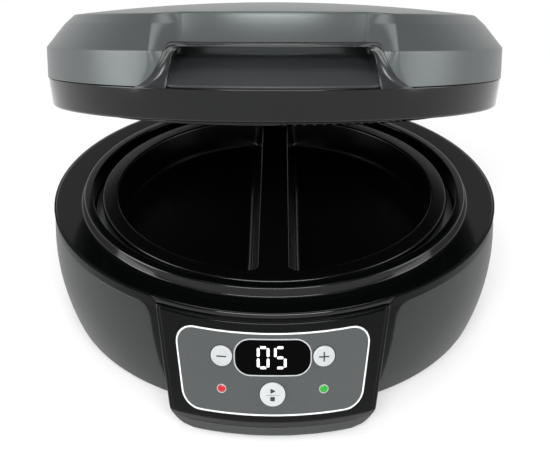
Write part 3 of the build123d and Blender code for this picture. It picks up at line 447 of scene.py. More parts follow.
def makeWorld():
    # direct rays see a white sweep all round that gives way to a dim ceiling overhead, by the ray's height;
    # everything else gets a dimmer even fill
    s = studio
    world = bpy.data.worlds.new("studioWorld")
    bpy.context.scene.world = world
    tree = emptyTree(world)
    direction = addNode(tree, "ShaderNodeTexCoord").outputs["Generated"]
    height = addNode(tree, "ShaderNodeSeparateXYZ", {}, {"Vector": direction}).outputs["Z"]
    level = mapRange(tree, height, (s["sweepTop"], s["ceilingLow"]), (1.0, s["ceiling"]), "SMOOTHSTEP")
    fill = addNode(tree, "ShaderNodeBackground", {"Color": (1, 1, 1, 1), "Strength": s["ambient"]})
    white = addNode(tree, "ShaderNodeBackground", {"Color": (1, 1, 1, 1)}, {"Strength": level})
    mix = addNode(tree, "ShaderNodeMixShader", {}, {0: directShare(tree), 1: fill.outputs["Background"],
                                                   2: white.outputs["Background"]})
    addNode(tree, "ShaderNodeOutputWorld", {}, {"Surface": mix.outputs["Shader"]})


softBoxes = {
    # name: place, point it looks at, width, height (m), power (W)
    "topBox": ((0.0, 0.25, 1.6), (0, 0, 0.05), 1.2, 0.8, 9.0),
    "leftBox": ((-1.35, -0.3, 0.6), (0, 0, 0.08), 0.7, 1.1, 13.0),
    "rightBox": ((1.35, -0.3, 0.6), (0, 0, 0.08), 0.7, 1.1, 9.0),
    "frontBox": ((0.0, -1.2, 1.1), (0, 0, 0.1), 1.3, 0.4, 21.0),
}


def makeLights():
    # one rectangular lamp a soft box, its back to the room and its face to its point
    for name, (place, target, width, height, power) in softBoxes.items():
        data = bpy.data.lights.new(name, "AREA")
        data.shape = "RECTANGLE"
        data.size, data.size_y, data.energy = width, height, power
        lamp = bpy.data.objects.new(name, data)
        lamp.location = place
        lamp.rotation_euler = (Vector(target) - Vector(place)).to_track_quat("-Z", "Y").to_euler()
        bpy.context.scene.collection.objects.link(lamp)


# lens and sensor in mm, distance and height in m, angles in degrees
cameraSizes = {"lens": 60.5, "sensor": 36.0, "distance": 0.4711, "height": 0.3259, "elevation": 31.41,
               "yaw": 0.35, "shift": 0.0011}


def makeCamera():
    # looks down on the drum's axis from the front, turned about it by the yaw
    s = cameraSizes
    data = bpy.data.cameras.new("productCamera")
    data.sensor_width = s["sensor"]
    data.lens = s["lens"]
    data.shift_x = s["shift"]
    camera = bpy.data.objects.new("productCamera", data)
    turn = math.radians(s["yaw"])
    camera.location = (s["distance"] * math.sin(turn), -s["distance"] * math.cos(turn), s["height"])
    camera.rotation_euler = (math.radians(90 - s["elevation"]), 0, turn)
    bpy.context.scene.collection.objects.link(camera)
    bpy.context.scene.camera = camera


makeFloor()
makeWorld()
makeLights()
makeCamera()
bpy.context.scene.view_settings.view_transform = "Standard"
print("stage, lights and camera set")


rimSizes = {"radius": 125.3, "top": 66.0, "lip": 5.0, "dish": 1.7, "foot": 110.0, "ring": 108.5,
            "ringTop": 69.0, "bore": 103.6, "shelf": 57.0, "shelfBore": 94.0, "wall": 2.3,
            "rounds": [0.5, 1.6, 1.0, 1.1, 0.8, 1.2, 0.5, 0.5, 0.8, 0.8, 0.8, 0.4]}


def makeRim():
    # the closed profile: up the lip, in over the dish, over the ring, down the bore, and back along the wall
    s = rimSizes
    outer, top, wall = s["radius"], s["top"], s["wall"]
    corners = [(outer, top - s["lip"]), (outer, top), (s["foot"], top - s["dish"]), (s["ring"], s["ringTop"]),
               (s["bore"], s["ringTop"]), (s["bore"], s["shelf"]), (s["shelfBore"], s["shelf"]),
               (s["shelfBore"], s["shelf"] - wall), (s["bore"] + wall, s["shelf"] - wall),
               (s["bore"] + wall, top - s["dish"] - wall), (outer - wall, top - wall),
               (outer - wall, top - s["lip"])]
    mesh = closedMesh(turnedLoop(corners, s["rounds"]))
    return newPiece("baseRim", mesh, "glossAbs", "base", ("base_rim",))


# (radius, height) of the side cover's hem, belly and top; its edges roll in by a share of their radius; it
# stands inside the true arc by the inset, and clear of the border and the rim by the gaps; its rows are close
# over hemRows, even from sideLow above the hem to the height sideHigh, then ever closer to the top
coverSizes = {"hem": (121.0, 3.0), "belly": (126.3, 28.0), "top": (125.2, 60.8), "wall": 2.4, "edge": 1.0,
              "rollShare": 0.6, "backHalf": 44.3, "inset": 0.04, "topGap": 0.15, "borderGap": 0.3,
              "clear": 0.05, "hemRows": 1.2, "sideLow": 3.0, "sideHigh": 50.0, "topFrom": 0.03,
              "roundMarks": [0.0, 0.016, 0.1, 0.97, 1.0], "roundCounts": [8, 14, 90, 6]}
# the rim's skirt and the cheeks that it sends down beside the pod: crest and crease heights, corner rounds,
# distance from the pod's side to the crest, and from it to the crease at the foot and, at widthZ, at the top;
# roll and sunk shape each edge, as shares of its radius
borderSizes = {"crest": 65.6, "crease": 60.9, "crestRound": 5.0, "creaseRound": 10.0, "gap": 0.3,
               "widthTop": 3.4, "widthLow": 1.5, "widthZ": 58.0, "proud": 0.22, "edge": 0.55, "deep": 1.6,
               "roll": [0.0, 0.0, 0.08, 0.3, 1.0], "sunk": [0.5, 0.2, 0.04], "middle": [0.25, 0.5, 0.75]}
# profile: (radius, height) down the pod's face from its brow to its hem, entered from a point behind the brow
podSizes = {"chinReflectionTop": 9.2, "halfTop": 56.6, "halfLow": 48.9, "browZ": 62.8, "lowZ": 3.0, "corner": 10.0,
            "behind": (119.0, 62.5),
            "profile": [(126.5, 62.8), (127.5, 61.4), (142.5, 14.5), (140.4, 9.0), (139.8, 3.0)],
            "rounds": [0.9, 0.9, 2.2, 1.6], "rowGap": 1.2, "cornerDrop": 0.05, "sink": 0.3, "edge": 1.3,
            "back": -112.0, "across": 90, "wall": 1.5}
coverCentre, coverCurve = circleThrough(coverSizes["hem"], coverSizes["belly"], coverSizes["top"])


def coverRadius(z):
    # the belly's arc, as a radius at each height
    return coverCentre[0] + np.sqrt(coverCurve ** 2 - (z - coverCentre[1]) ** 2) - coverSizes["inset"]


def podHalf(z):
    # the pod's half width, in a straight line from its hem to its brow
    s = podSizes
    return s["halfLow"] + (s["halfTop"] - s["halfLow"]) * (z - s["lowZ"]) / (s["browZ"] - s["lowZ"])


def skirtRadius(z):
    # the cover's arc below the seam, the rim's upright skirt above it
    seam = coverSizes["top"][1]
    return np.where(z > seam, rimSizes["radius"], coverRadius(np.minimum(z, seam)))


def podArc(z, beyond):
    # arc length round the drum from its middle line to a line beside the pod: radius x asin(half / skirt)
    return rimSizes["radius"] * np.arcsin((podHalf(z) + beyond) / skirtRadius(z))


def borderPaths():
    # crest and crease as (arc, height) paths: up beside the pod, round the corner, and back along the rim
    b = borderSizes
    low, back = coverSizes["hem"][1], rimSizes["radius"] * math.pi
    paths = []
    for level, beyondLow, beyondTop, size in (
            (b["crest"], b["gap"], b["gap"], b["crestRound"]),
            (b["crease"], b["gap"] + b["widthLow"], b["gap"] + b["widthTop"], b["creaseRound"])):
        start = (float(podArc(np.array(low), beyondLow)), low)
        corner = (float(podArc(np.array(b["widthZ"]), beyondTop)), level)
        arc = roundedPath([start, corner, (back, level)], [size], steps=26)
        climb = resampled(np.array([start, arc[1]]), 40)[:-1]
        run = resampled(np.array([arc[-2], (back, level)]), 150)[1:]
        paths.append(np.vstack([climb, arc[1:-1], run]))
    return paths


def makeRimBorder():
    # across each station the skin leaves the rim at the crest, runs out to the crease and turns in again;
    # the right half's stations are mirrored for the left, so the border is one ring open at the pod
    b = borderSizes
    e = b["edge"]
    crest, crease = borderPaths()
    width = np.linalg.norm(crease - crest, axis=1)[:, None]
    roll, rolled = np.array(b["roll"]) * e, np.array(b["sunk"]) * e
    across = np.concatenate([np.broadcast_to(roll, (len(crest), len(roll))),
                             e + (width - 2 * e) * np.array(b["middle"]), width - roll[None, ::-1]], axis=1)
    sunk = np.concatenate([[b["deep"]], rolled, np.zeros(5), rolled[::-1], [b["deep"]]])
    flat = crest[:, None, :] + (crease - crest)[:, None, :] * (across / width)[..., None]
    z = flat[..., 1]
    radius = skirtRadius(z) + b["proud"] - sunk[None, :]
    azimuth = flat[..., 0] / rimSizes["radius"]
    azimuth = np.vstack([azimuth, 2 * math.pi - azimuth[-2::-1]])
    radius, z = np.vstack([radius, radius[-2::-1]]), np.vstack([z, z[-2::-1]])
    grid = np.stack([radius * np.sin(azimuth), -radius * np.cos(azimuth), z], axis=-1)
    mesh = weldedMesh(gridMesh(grid, aroundColumns=True, capRows=True))
    piece = newPiece("rimBorder", mesh, "borderAbs", "base", sharp=60)
    return piece


def makeSideCover(name, node, side):
    # rows climb the belly's arc, closer at the hem and the top; each row runs from the border's crease round
    # to the hinge housing; near an edge the skin rolls in on a quarter circle
    s = coverSizes
    low, top = s["hem"][1], s["top"][1] - s["topGap"]
    rise = 1 - np.sin(np.linspace(s["topFrom"], math.pi / 2, 30))
    z = np.concatenate([np.linspace(low, low + s["hemRows"], 5),
                        np.linspace(low + s["sideLow"], s["sideHigh"], 30),
                        top - (top - s["sideHigh"]) * rise])
    crease = borderPaths()[1]
    rising = crease[crease[:, 1] < top - s["clear"]]
    radius = coverRadius(z)
    start = (np.interp(z, rising[:, 1], rising[:, 0]) + s["borderGap"]) / rimSizes["radius"]
    finish = math.pi - np.arcsin(s["backHalf"] / radius)
    t = stepped(s["roundMarks"], s["roundCounts"])
    a = start[:, None] + (finish - start)[:, None] * t[None, :]
    along = (a - start[:, None]) * radius[:, None]
    fromEdge = np.minimum(np.minimum(along, (top - z)[:, None]), (z - low)[:, None])
    inside = np.clip(s["edge"] - fromEdge, 0, s["edge"])
    r = radius[:, None] - s["rollShare"] * (s["edge"] - np.sqrt(np.maximum(s["edge"] ** 2 - inside ** 2, 0)))
    grid = np.stack([side * r * np.sin(a), -r * np.cos(a), np.broadcast_to(z[:, None], a.shape)], axis=-1)
    piece = newPiece(name, gridMesh(grid, flip=side > 0), "graphiteAbs", "base", (node,), sharp=60)
    return addWall(piece, s["wall"])


makeRim()
makeSideCover("coverLeft", "side_cover_left", -1)
makeSideCover("coverRight", "side_cover_right", 1)
makeRimBorder()
print("rim and side covers made")


def podSkin(halfOf, profile, s):
    # rows follow the profile down the face; across each row the plan path runs from the back of one side,
    # round the front edge, along the drum's arc and back again; the lower corners are drawn in on a quarter
    # circle, and a side keeps at least a millimetre behind its edge
    r, z = profile[:, 0] - s["sink"], profile[:, 1]
    corner, edge = s["corner"], s["edge"]
    near = np.clip((s["lowZ"] - s["cornerDrop"] + corner - z) / corner, 0, 1)
    half = halfOf(z) - corner + np.sqrt(np.maximum(corner ** 2 - (near * corner) ** 2, 0))
    front = -np.sqrt(r ** 2 - half ** 2)
    inner = half - edge
    t = np.linspace(0, 1, 7)[None, :]
    sideX = np.repeat(-half[:, None], 5, axis=1)
    rear = np.maximum(s["back"], front + edge + 1.0)[:, None]
    sideY = rear + ((front + edge)[:, None] - rear) * np.linspace(0, 1, 6)[None, :-1]
    tipX = -(half[:, None] * (1 - t) ** 2 + 2 * half[:, None] * t * (1 - t) + inner[:, None] * t ** 2)
    endY = -np.sqrt(r ** 2 - inner ** 2)
    tipY = (front + edge)[:, None] * (1 - t) ** 2 + 2 * front[:, None] * t * (1 - t) + endY[:, None] * t ** 2
    faceX = inner[:, None] * np.linspace(-1, 1, s["across"])[None, 1:-1]
    faceY = -np.sqrt(r[:, None] ** 2 - faceX ** 2)
    x = np.concatenate([sideX, tipX, faceX, -tipX[:, ::-1], -sideX[:, ::-1]], axis=1)
    y = np.concatenate([sideY, tipY, faceY, tipY[:, ::-1], sideY[:, ::-1]], axis=1)
    return np.stack([x, y, np.broadcast_to(z[:, None], x.shape)], axis=-1)


def makePodFrame():
    # the pod's skin from behind its brow to its hem; the chin below the fascia takes a lighter satin colour,
    # a painted reflection of the light off the table
    s = podSizes
    profile = denseProfile([s["behind"]] + s["profile"], s["rounds"], s["rowGap"])
    mesh = gridMesh(podSkin(podHalf, profile, s))
    piece = newPiece("podFrame", mesh, "podAbs", "base", ("pod_frame",), sharp=50)
    height = np.array([p.center.z for p in mesh.polygons])
    # painted reflection: the faces below the chin's top take the lighter colour
    secondFinish(mesh, "chinPaintedReflection", height < s["chinReflectionTop"] * toMetres)
    return addWall(piece, s["wall"])


# under the overlay the skin steps back by "step", everywhere in front of "stepBack"
fasciaSizes = {"inset": 1.9, "corner": 8.0, "lowZ": 9.4, "cornerDrop": 0.45, "sink": 0.0, "edge": 0.7,
               "behind": (126.6, 62.7), "rounds": [0.8, 2.4], "rowGap": 0.8, "back": -124.0, "across": 140,
               "step": 5.5, "stepBack": -112.0, "stepGrow": 0.65, "wall": 1.2}
faceTop, faceLow = podSizes["profile"][1:3]
lean = math.atan2(faceLow[0] - faceTop[0], faceTop[1] - faceLow[1])
leanSin, leanCos = math.sin(lean), math.cos(lean)


def fasciaHalf(z):
    # the fascia's half width: the pod's less the frame's
    return podHalf(z) - fasciaSizes["inset"]


def facePoint(across, down, out=0.0):
    # from the plane that touches the cone on its middle line, back along its normal to the cone, then out
    across, down, out = np.broadcast_arrays(*(np.asarray(v, float) for v in (across, down, out)))
    reach = faceTop[0] + down * leanSin
    bend = leanSin ** 4 / leanCos ** 2 - leanCos ** 2
    linear = 2 * reach / leanCos
    step = (-linear + np.sqrt(linear ** 2 + 4 * bend * across ** 2)) / (2 * bend) - out
    return np.stack([across, -reach + step * leanCos, faceTop[1] - down * leanCos - step * leanSin], axis=-1)


def downAt(across, z, rounds=12):
    # the distance down the face at which the cone has a given height: each round adds what is still missing
    across, z = np.asarray(across, float), np.asarray(z, float)
    down = (faceTop[1] - z) / leanCos
    for _ in range(rounds):
        down = down + (facePoint(across, down)[..., 2] - z) / leanCos
    return down


def trapezoidLoop(halfTop, halfLow, top, low, corner):
    # a rounded trapezoid drawn by height, carried to distances down the face
    corners = [(-halfLow, low), (halfLow, low), (halfTop, top), (-halfTop, top)]
    loop = resampled(roundedLoop(corners, corner), 220, closed=True)
    return np.stack([loop[:, 0], downAt(loop[:, 0], loop[:, 1])], axis=1)


def roundedBoxLoop(width, height, corner, centre, count=120):
    # a rectangle with rounded corners about a centre
    w, h = width / 2, height / 2
    loop = roundedLoop([(-w, -h), (w, -h), (w, h), (-w, h)], corner, steps=14)
    return resampled(loop, count, closed=True) + np.array(centre)


def circleLoop(radius, centre, count=48):
    # even points round a circle: centre + radius x (cos, sin)
    a = np.radians(evenAround(count))
    return np.stack([centre[0] + radius * np.cos(a), centre[1] + radius * np.sin(a)], axis=1)


def insideLoop(points, loop):
    # even-odd rule: a point is inside if a line to its right crosses the loop an odd number of times
    x, y = points[:, 0][:, None], points[:, 1][:, None]
    a, b = loop[None, :, :], np.roll(loop, -1, axis=0)[None, :, :]
    crosses = (a[..., 1] > y) != (b[..., 1] > y)
    run = b[..., 1] - a[..., 1]
    at = a[..., 0] + (y - a[..., 1]) * (b[..., 0] - a[..., 0]) / np.where(run == 0, 1e-12, run)
    return (np.sum(crosses & (x < at), axis=1) % 2) == 1


def insideRegion(points, outline, holes):
    # inside the outline and in none of the holes
    keep = insideLoop(points, outline)
    for hole in holes:
        keep &= ~insideLoop(points, hole)
    return keep


def sheetTriangles(outline, holes, gap=2.2, clear=0.45):
    # points of the loops and of a grid between them, joined by Delaunay triangles that all turn one way; grid
    # points nearer to a loop than a share of the gap are left out
    loops = [outline] + list(holes)
    (left, low), (right, high) = outline.min(axis=0), outline.max(axis=0)
    inner = np.stack(np.meshgrid(np.arange(left, right, gap), np.arange(low, high, gap)), axis=-1)
    inner = inner.reshape(-1, 2)
    near = np.min(np.linalg.norm(inner[:, None, :] - np.vstack(loops)[None, :, :], axis=2), axis=1)
    inner = inner[insideRegion(inner, outline, holes) & (near > gap * clear)]
    points = [Vector(p) for p in np.vstack(loops + [inner]).tolist()]
    verts, _, faces, *_ = delaunay_2d_cdt(points, loopEdges(loops), [], 0, 1e-7)
    flat = np.array([(v.x, v.y) for v in verts])
    tris = np.array([f for f in faces if len(f) == 3])
    tris = tris[insideRegion(flat[tris].mean(axis=1), outline, holes)]
    a, b, c = flat[tris[:, 0]], flat[tris[:, 1]], flat[tris[:, 2]]
    turn = (b[:, 0] - a[:, 0]) * (c[:, 1] - a[:, 1]) - (b[:, 1] - a[:, 1]) * (c[:, 0] - a[:, 0])
    return flat, np.where((turn > 0)[:, None], tris[:, ::-1], tris)


def faceSheet(outline, holes, out, thick):
    # a flat region with holes laid on the cone: its face, the same face a thickness below, and walls down
    # from every edge that only one triangle has
    flat, tris = sheetTriangles(outline, holes)
    top, bottom = (facePoint(flat[:, 0], flat[:, 1], level) for level in (out, out - thick))
    count = len(flat)
    sides = np.vstack([tris[:, [0, 1]], tris[:, [1, 2]], tris[:, [2, 0]]])
    key = np.sort(sides, axis=1)
    _, first, times = np.unique(key[:, 0] * count + key[:, 1], return_index=True, return_counts=True)
    rim = sides[first[times == 1]]
    walls = np.stack([rim[:, 1], rim[:, 0], rim[:, 0] + count, rim[:, 1] + count], axis=1)
    faces = tris.tolist() + (tris[:, ::-1] + count).tolist() + walls.tolist()
    return facesMesh(np.vstack([top, bottom]), faces)


# a rib is (growth of its inner edge, growth of its outer edge, height, depth); room is left round what the
# overlay's holes let through
overlaySizes = {"halfTop": 46.3, "halfLow": 42.0, "top": 56.5, "low": 18.6, "corner": 8.0, "grow": 0.3,
                "thick": 0.5, "rib": (0.25, 1.1, 0.22, 0.9), "keyRoom": 0.35, "lampRoom": 0.5,
                "displayRoom": 0.85}
displaySizes = {"width": 35.2, "height": 17.0, "corner": 7.0, "down": 16.3, "grow": 0.35, "proud": 0.02,
                "thick": 1.2, "rib": (0.3, 0.9, 0.25, 1.2)}
# across and down the face, then the radius
keySizes = {"minus": (-24.3, 16.1, 5.15), "plus": (24.3, 16.1, 5.15), "start": (0.0, 34.8, 6.1)}
lampSizes = {"power": (-24.4, 32.8, 1.8), "ready": (24.4, 32.8, 1.8)}
# a rib's section: shares of its width, and how far its points lie below its top, between its two feet
ribSection = {"across": [0.0, 0.0, 0.06, 0.2, 0.5, 0.8, 0.94, 1.0, 1.0],
              "drop": [0.25, 0.09, 0.01, 0.0, 0.01, 0.09, 0.25]}


def overlayLoop(grow=0.0):
    # the overlay's outline, moved outwards by the growth
    s = overlaySizes
    return trapezoidLoop(s["halfTop"] + grow, s["halfLow"] + grow, s["top"] + grow, s["low"] - grow,
                         s["corner"] + grow)


def displayLoop(grow=0.0):
    # the display's outline, moved outwards by the growth
    s = displaySizes
    return roundedBoxLoop(s["width"] + 2 * grow, s["height"] + 2 * grow, s["corner"] + grow, (0, s["down"]))


def makeFascia():
    # the pod's skin inside the frame; its edge rolls in, and under the overlay it steps back out of sight
    s = fasciaSizes
    profile = denseProfile([s["behind"]] + podSizes["profile"][1:4], s["rounds"], s["rowGap"])
    grid = podSkin(fasciaHalf, profile, s)
    x, z = grid[..., 0], grid[..., 2]
    flat = np.stack([x.ravel(), downAt(x.ravel(), z.ravel())], axis=1)
    under = insideLoop(flat, overlayLoop(s["stepGrow"])).reshape(x.shape) & (grid[..., 1] < s["stepBack"])
    plan = np.hypot(grid[..., 0], grid[..., 1])
    grid[..., :2] *= np.where(under, (plan - s["step"]) / plan, 1.0)[..., None]
    piece = newPiece("fascia", gridMesh(grid), "podAbs", "base", ("control_fascia",), sharp=50)
    return addWall(piece, s["wall"])


def makeOverlay():
    # the printed film, with a hole for each key and lamp and for the display
    s = overlaySizes
    holes = [circleLoop(r + s["keyRoom"], (x, d)) for x, d, r in keySizes.values()]
    holes += [circleLoop(r + s["lampRoom"], (x, d), count=32) for x, d, r in lampSizes.values()]
    holes.append(displayLoop(s["displayRoom"]))
    mesh = faceSheet(overlayLoop(s["grow"]), holes, 0.0, s["thick"])
    return newPiece("panelFilm", mesh, "printedFilm", "base", ("panel_overlay",))


def loopRib(name, loopOf, rib, finish, stands=()):
    # a rib between two growths of one loop: up the outside, over a rounded top and down the inside
    inGrow, outGrow, out, deep = rib
    loopIn, loopOut = loopOf(inGrow), loopOf(outGrow)
    level = np.array([-deep] + [out - drop for drop in ribSection["drop"]] + [-deep])
    flat = loopIn[:, None, :] + (loopOut - loopIn)[:, None, :] * np.array(ribSection["across"])[None, :, None]
    grid = facePoint(flat[..., 0], flat[..., 1], level[None, :])
    return newPiece(name, closedMesh(grid), finish, "base", stands, sharp=60)


def makeDisplay():
    # the smoked window over the digits
    s = displaySizes
    mesh = faceSheet(displayLoop(s["grow"]), [], s["proud"], s["thick"])
    return newPiece("displayLens", mesh, "smokedLens", "base", ("display_window",))


def inlay(name, loops, out, thick, finish, body):
    # small flat shapes laid on the cone: a face at the top of each loop and walls down from its edge
    points, faces = [], []
    for loop in loops:
        area = np.sum(loop[:, 0] * np.roll(loop[:, 1], -1) - np.roll(loop[:, 0], -1) * loop[:, 1])
        loop = loop if area < 0 else loop[::-1]
        faces += prismFaces(len(loop), start=sum(len(p) for p in points))
        points += [facePoint(loop[:, 0], loop[:, 1], level) for level in (out, out - thick)]
    piece = newPiece(name, facesMesh(np.vstack(points), faces), finish, body)
    return piece


def barLoop(ax, ad, bx, bd, width, soft=0.32):
    # a bar from a to b, its corners softened by a share of its width
    a, b = np.array([ax, ad]), np.array([bx, bd])
    along = (b - a) / np.linalg.norm(b - a)
    side = np.array([-along[1], along[0]]) * width / 2
    corners = [a - side, b - side, b + side, a + side]
    return resampled(roundedLoop(corners, width * soft, steps=5), 28, closed=True)


# a digit's outside, its bars and the gaps between them; waist is a share of the stroke
digitSizes = {"height": 11.4, "width": 5.9, "stroke": 1.25, "gap": 0.28, "waist": 0.15, "left": -4.5,
              "right": 3.6, "down": 16.3, "proud": 0.06, "thick": 0.12}


def makeDigits():
    # seven bars a digit, with a gap at each joint; the bars that are lit show 0 and 5
    s = digitSizes
    k, g = s["stroke"], s["gap"]
    x, y = (s["width"] - k) / 2, (s["height"] - k) / 2
    reach, waist = x - k / 2 - g, g + k * s["waist"]
    bars = {"top": (-reach, -y, reach, -y), "middle": (-reach, 0, reach, 0), "bottom": (-reach, y, reach, y),
            "upLeft": (-x, -y + g, -x, -waist), "upRight": (x, -y + g, x, -waist),
            "lowLeft": (-x, waist, -x, y - g), "lowRight": (x, waist, x, y - g)}
    shown = {"left": "top upLeft upRight lowLeft lowRight bottom",
             "right": "top upLeft middle lowRight bottom"}
    loops = []
    for side, names in shown.items():
        for key in names.split():
            ax, ad, bx, bd = bars[key]
            loops.append(barLoop(ax + s[side], ad + s["down"], bx + s[side], bd + s["down"], k))
    return inlay("digitBars", loops, s["proud"], s["thick"], "digitLight", "base")


# heights above the face: the crowned top's middle, a point part of the way out, the shoulder, the flange
keyShape = {"middle": 1.02, "crown": 0.98, "crownShare": 0.55, "shoulder": 0.8, "flangeTop": -2.6,
            "flangeLow": -3.5, "flange": 0.9, "rounds": [2.0, 0.55, 0.1, 0.1, 0.1]}
lampShape = {"middle": 0.55, "crown": 0.45, "crownShare": 0.7, "shoulder": 0.2, "foot": -1.2,
             "rounds": [1.0, 0.3], "rib": (0.04, 0.48, 0.12, 0.4)}


def turnedOnFace(profile, x, down, count):
    # a (radius, height) profile turned about a point of the face, each of its points following the cone
    a = np.radians(evenAround(count))[:, None]
    rho = profile[None, :, 0]
    return facePoint(x + rho * np.cos(a), down - rho * np.sin(a), profile[None, :, 1])


def turnedOnAxis(profile, x, down, count):
    # the same about the face's own normal, as a true solid of revolution
    a = np.radians(evenAround(count))[:, None, None]
    rho, out = profile[None, :, 0:1], profile[None, :, 1:2]
    upFace, outward = np.array([0.0, leanSin, leanCos]), np.array([0.0, -leanCos, leanSin])
    return facePoint(x, down) + rho * (np.cos(a) * np.array([1.0, 0, 0]) + np.sin(a) * upFace) + out * outward


def makeKey(name, body, node):
    # from the crowned top over a rounded shoulder, down the shank and out to the flange; off the middle line
    # the cone turns away, so there the key follows it
    s = keyShape
    x, down, radius = keySizes[name]
    brim = radius + s["flange"]
    corners = [(0.0, s["middle"]), (radius * s["crownShare"], s["crown"]), (radius, s["shoulder"]),
               (radius, s["flangeTop"]), (brim, s["flangeTop"]), (brim, s["flangeLow"]),
               (0.0, s["flangeLow"])]
    turned = turnedOnAxis if x == 0 else turnedOnFace
    mesh = weldedMesh(gridMesh(turned(roundedPath(corners, s["rounds"]), x, down, 64), aroundRows=True))
    return newPiece(name + "Key", mesh, "pearlKey", body, (node,), sharp=50)


# half lengths of the minus and plus bars; the triangle's corners, the square's middle and side, and the line
# between them are offsets from the start key's middle
markSizes = {"minus": 2.4, "plus": 2.5, "stroke": 0.7, "out": 1.04, "thick": 0.1, "soft": 0.2,
             "triangle": [(-1.0, -3.4), (1.5, -2.0), (-1.0, -0.6)], "squareDown": 2.0, "square": 2.2,
             "lineHalf": 3.4, "lineDown": 0.15, "lineStroke": 0.16}


def makeKeyMarks():
    # a bar, a cross of two bars, and a triangle over a line over a square
    s = markSizes
    (mx, md, _), (px, pd, _), (sx, sd, _) = (keySizes[name] for name in ("minus", "plus", "start"))
    corners = [(sx + x, sd + d) for x, d in s["triangle"]]
    marks = {
        "minus": [barLoop(mx - s["minus"], md, mx + s["minus"], md, s["stroke"])],
        "plus": [barLoop(px - s["plus"], pd, px + s["plus"], pd, s["stroke"]),
                 barLoop(px, pd - s["plus"], px, pd + s["plus"], s["stroke"])],
        "start": [resampled(roundedLoop(corners, s["soft"], steps=4), 24, closed=True),
                  roundedBoxLoop(s["square"], s["square"], s["soft"], (sx, sd + s["squareDown"]), count=24),
                  barLoop(sx - s["lineHalf"], sd + s["lineDown"], sx + s["lineHalf"], sd + s["lineDown"],
                          s["lineStroke"])]}
    for name, loops in marks.items():
        inlay(name + "Mark", loops, s["out"], s["thick"], "keyInk", name + "_key")


def makeLamp(name, node, finish):
    # a low domed lens, closed below, and the fine ring round it
    s = lampShape
    x, down, radius = lampSizes[name]
    corners = [(0.0, s["middle"]), (radius * s["crownShare"], s["crown"]), (radius, s["shoulder"]),
               (radius, s["foot"])]
    grid = turnedOnFace(roundedPath(corners, s["rounds"]), x, down, 40)
    mesh = weldedMesh(gridMesh(grid, aroundRows=True, capLast=True))
    newPiece(name + "Lamp", mesh, finish, "base", (node,), sharp=50)
    ring = loopRib(name + "LampRing", lambda grow: circleLoop(radius + grow, (x, down)), s["rib"], "ringAbs")


makePodFrame()
makeFascia()
makeOverlay()
loopRib("panelRib", overlayLoop, overlaySizes["rib"], "whiteRib", ("panel_bezel",))
loopRib("displayRib", displayLoop, displaySizes["rib"], "ringAbs", ("display_bezel",))
makeDisplay()
makeDigits()
for keyName in keySizes:
    makeKey(keyName, keyName + "_key", keyName + "_button")
makeKeyMarks()
makeLamp("power", "power_lamp", "redLens")
makeLamp("ready", "ready_lamp", "greenLens")
print("pod and control panel made")


hingeSizes = {"y": 133.0, "z": 66.0, "restAngle": 19.3}
# flange and flangeIn are how far in the band's top flange reaches, and how far in its underside starts
lidSizes = {"z": 70.5, "bandLow": 121.0, "bandTop": 122.8, "bandHeight": 14.8, "bandBore": 101.0,
            "bandWall": 2.4, "flange": 6.0, "flangeIn": 3.0,
            "rounds": [1.6, 0.7, 0.3, 0.3, 0.3, 0.8, 0.4, 0.5]}
crownSizes = {
    # (radius, height above the band's underside) up the crown: lower edge, ridge, facet, plateau edge
    "outer": [(123.1, 15.0), (123.1, 30.5), (113.2, 42.5), (108.0, 47.1)],
    "rounds": [1.4, 1.2], "plateauRound": 4.0, "lipRound": 2.2, "edgeRun": 7.0,
    "apexRadius": 100.0, "rowGap": 1.6, "belowEdge": 0.9, "domeEase": 0.9, "height": 54.0, "wall": 2.5,
    # the scoop: its top edge, its waist and its foot
    "scoopTop": (103.2, 47.5), "scoopWaist": (107.5, 34.7), "scoopFoot": (123.9, 15.0),
    # seen from the front, its flanks stand between these half widths and sweep out by the flare at their
    # feet, the inner edge by a share of it; leastFlank is in degrees, domeInset is how far inside its edge
    # the outer flank meets the dome
    "flankIn": 41.6, "flankOut": 55.4, "flare": 7.0, "flareTop": 27.0, "innerShare": 0.3, "leastFlank": 1.2,
    "domeInset": 1.5, "margin": 2.0, "counts": [31, 44, 71],
    # the wall turns from inwards to downwards above turnFrom, sheds turnShare of the inward part at the top,
    # and loses the rest of it towards the middle, within fadeRadius
    "turnFrom": 26.0, "turnShare": 0.3, "fadeRadius": 30.0}


def openLid(points):
    # lid pieces are worked out closed and turned up about the hinge to where the lid stands
    t = math.radians(hingeSizes["restAngle"])
    dy, dz = points[..., 1] - hingeSizes["y"], points[..., 2] - hingeSizes["z"]
    return np.stack([points[..., 0], hingeSizes["y"] + dy * math.cos(t) + dz * math.sin(t),
                     hingeSizes["z"] - dy * math.sin(t) + dz * math.cos(t)], axis=-1)


def domeHeight(radius):
    # a parabola from the middle's height down to the plateau's edge
    s = crownSizes
    edge = s["outer"][3]
    return s["height"] - (s["height"] - edge[1]) * (radius / edge[0]) ** 2


def domePoint(radius):
    # a (radius, height) point of the dome
    return (radius, float(domeHeight(radius)))


def scoopRadius(height):
    # arc through the scoop's top edge, waist and foot
    s = crownSizes
    centre, size = circleThrough(s["scoopFoot"], s["scoopWaist"], s["scoopTop"])
    side = np.sign(centre[0] - s["scoopWaist"][0])
    return centre[0] - np.sqrt(np.maximum(size ** 2 - (height - centre[1]) ** 2, 0)) * side


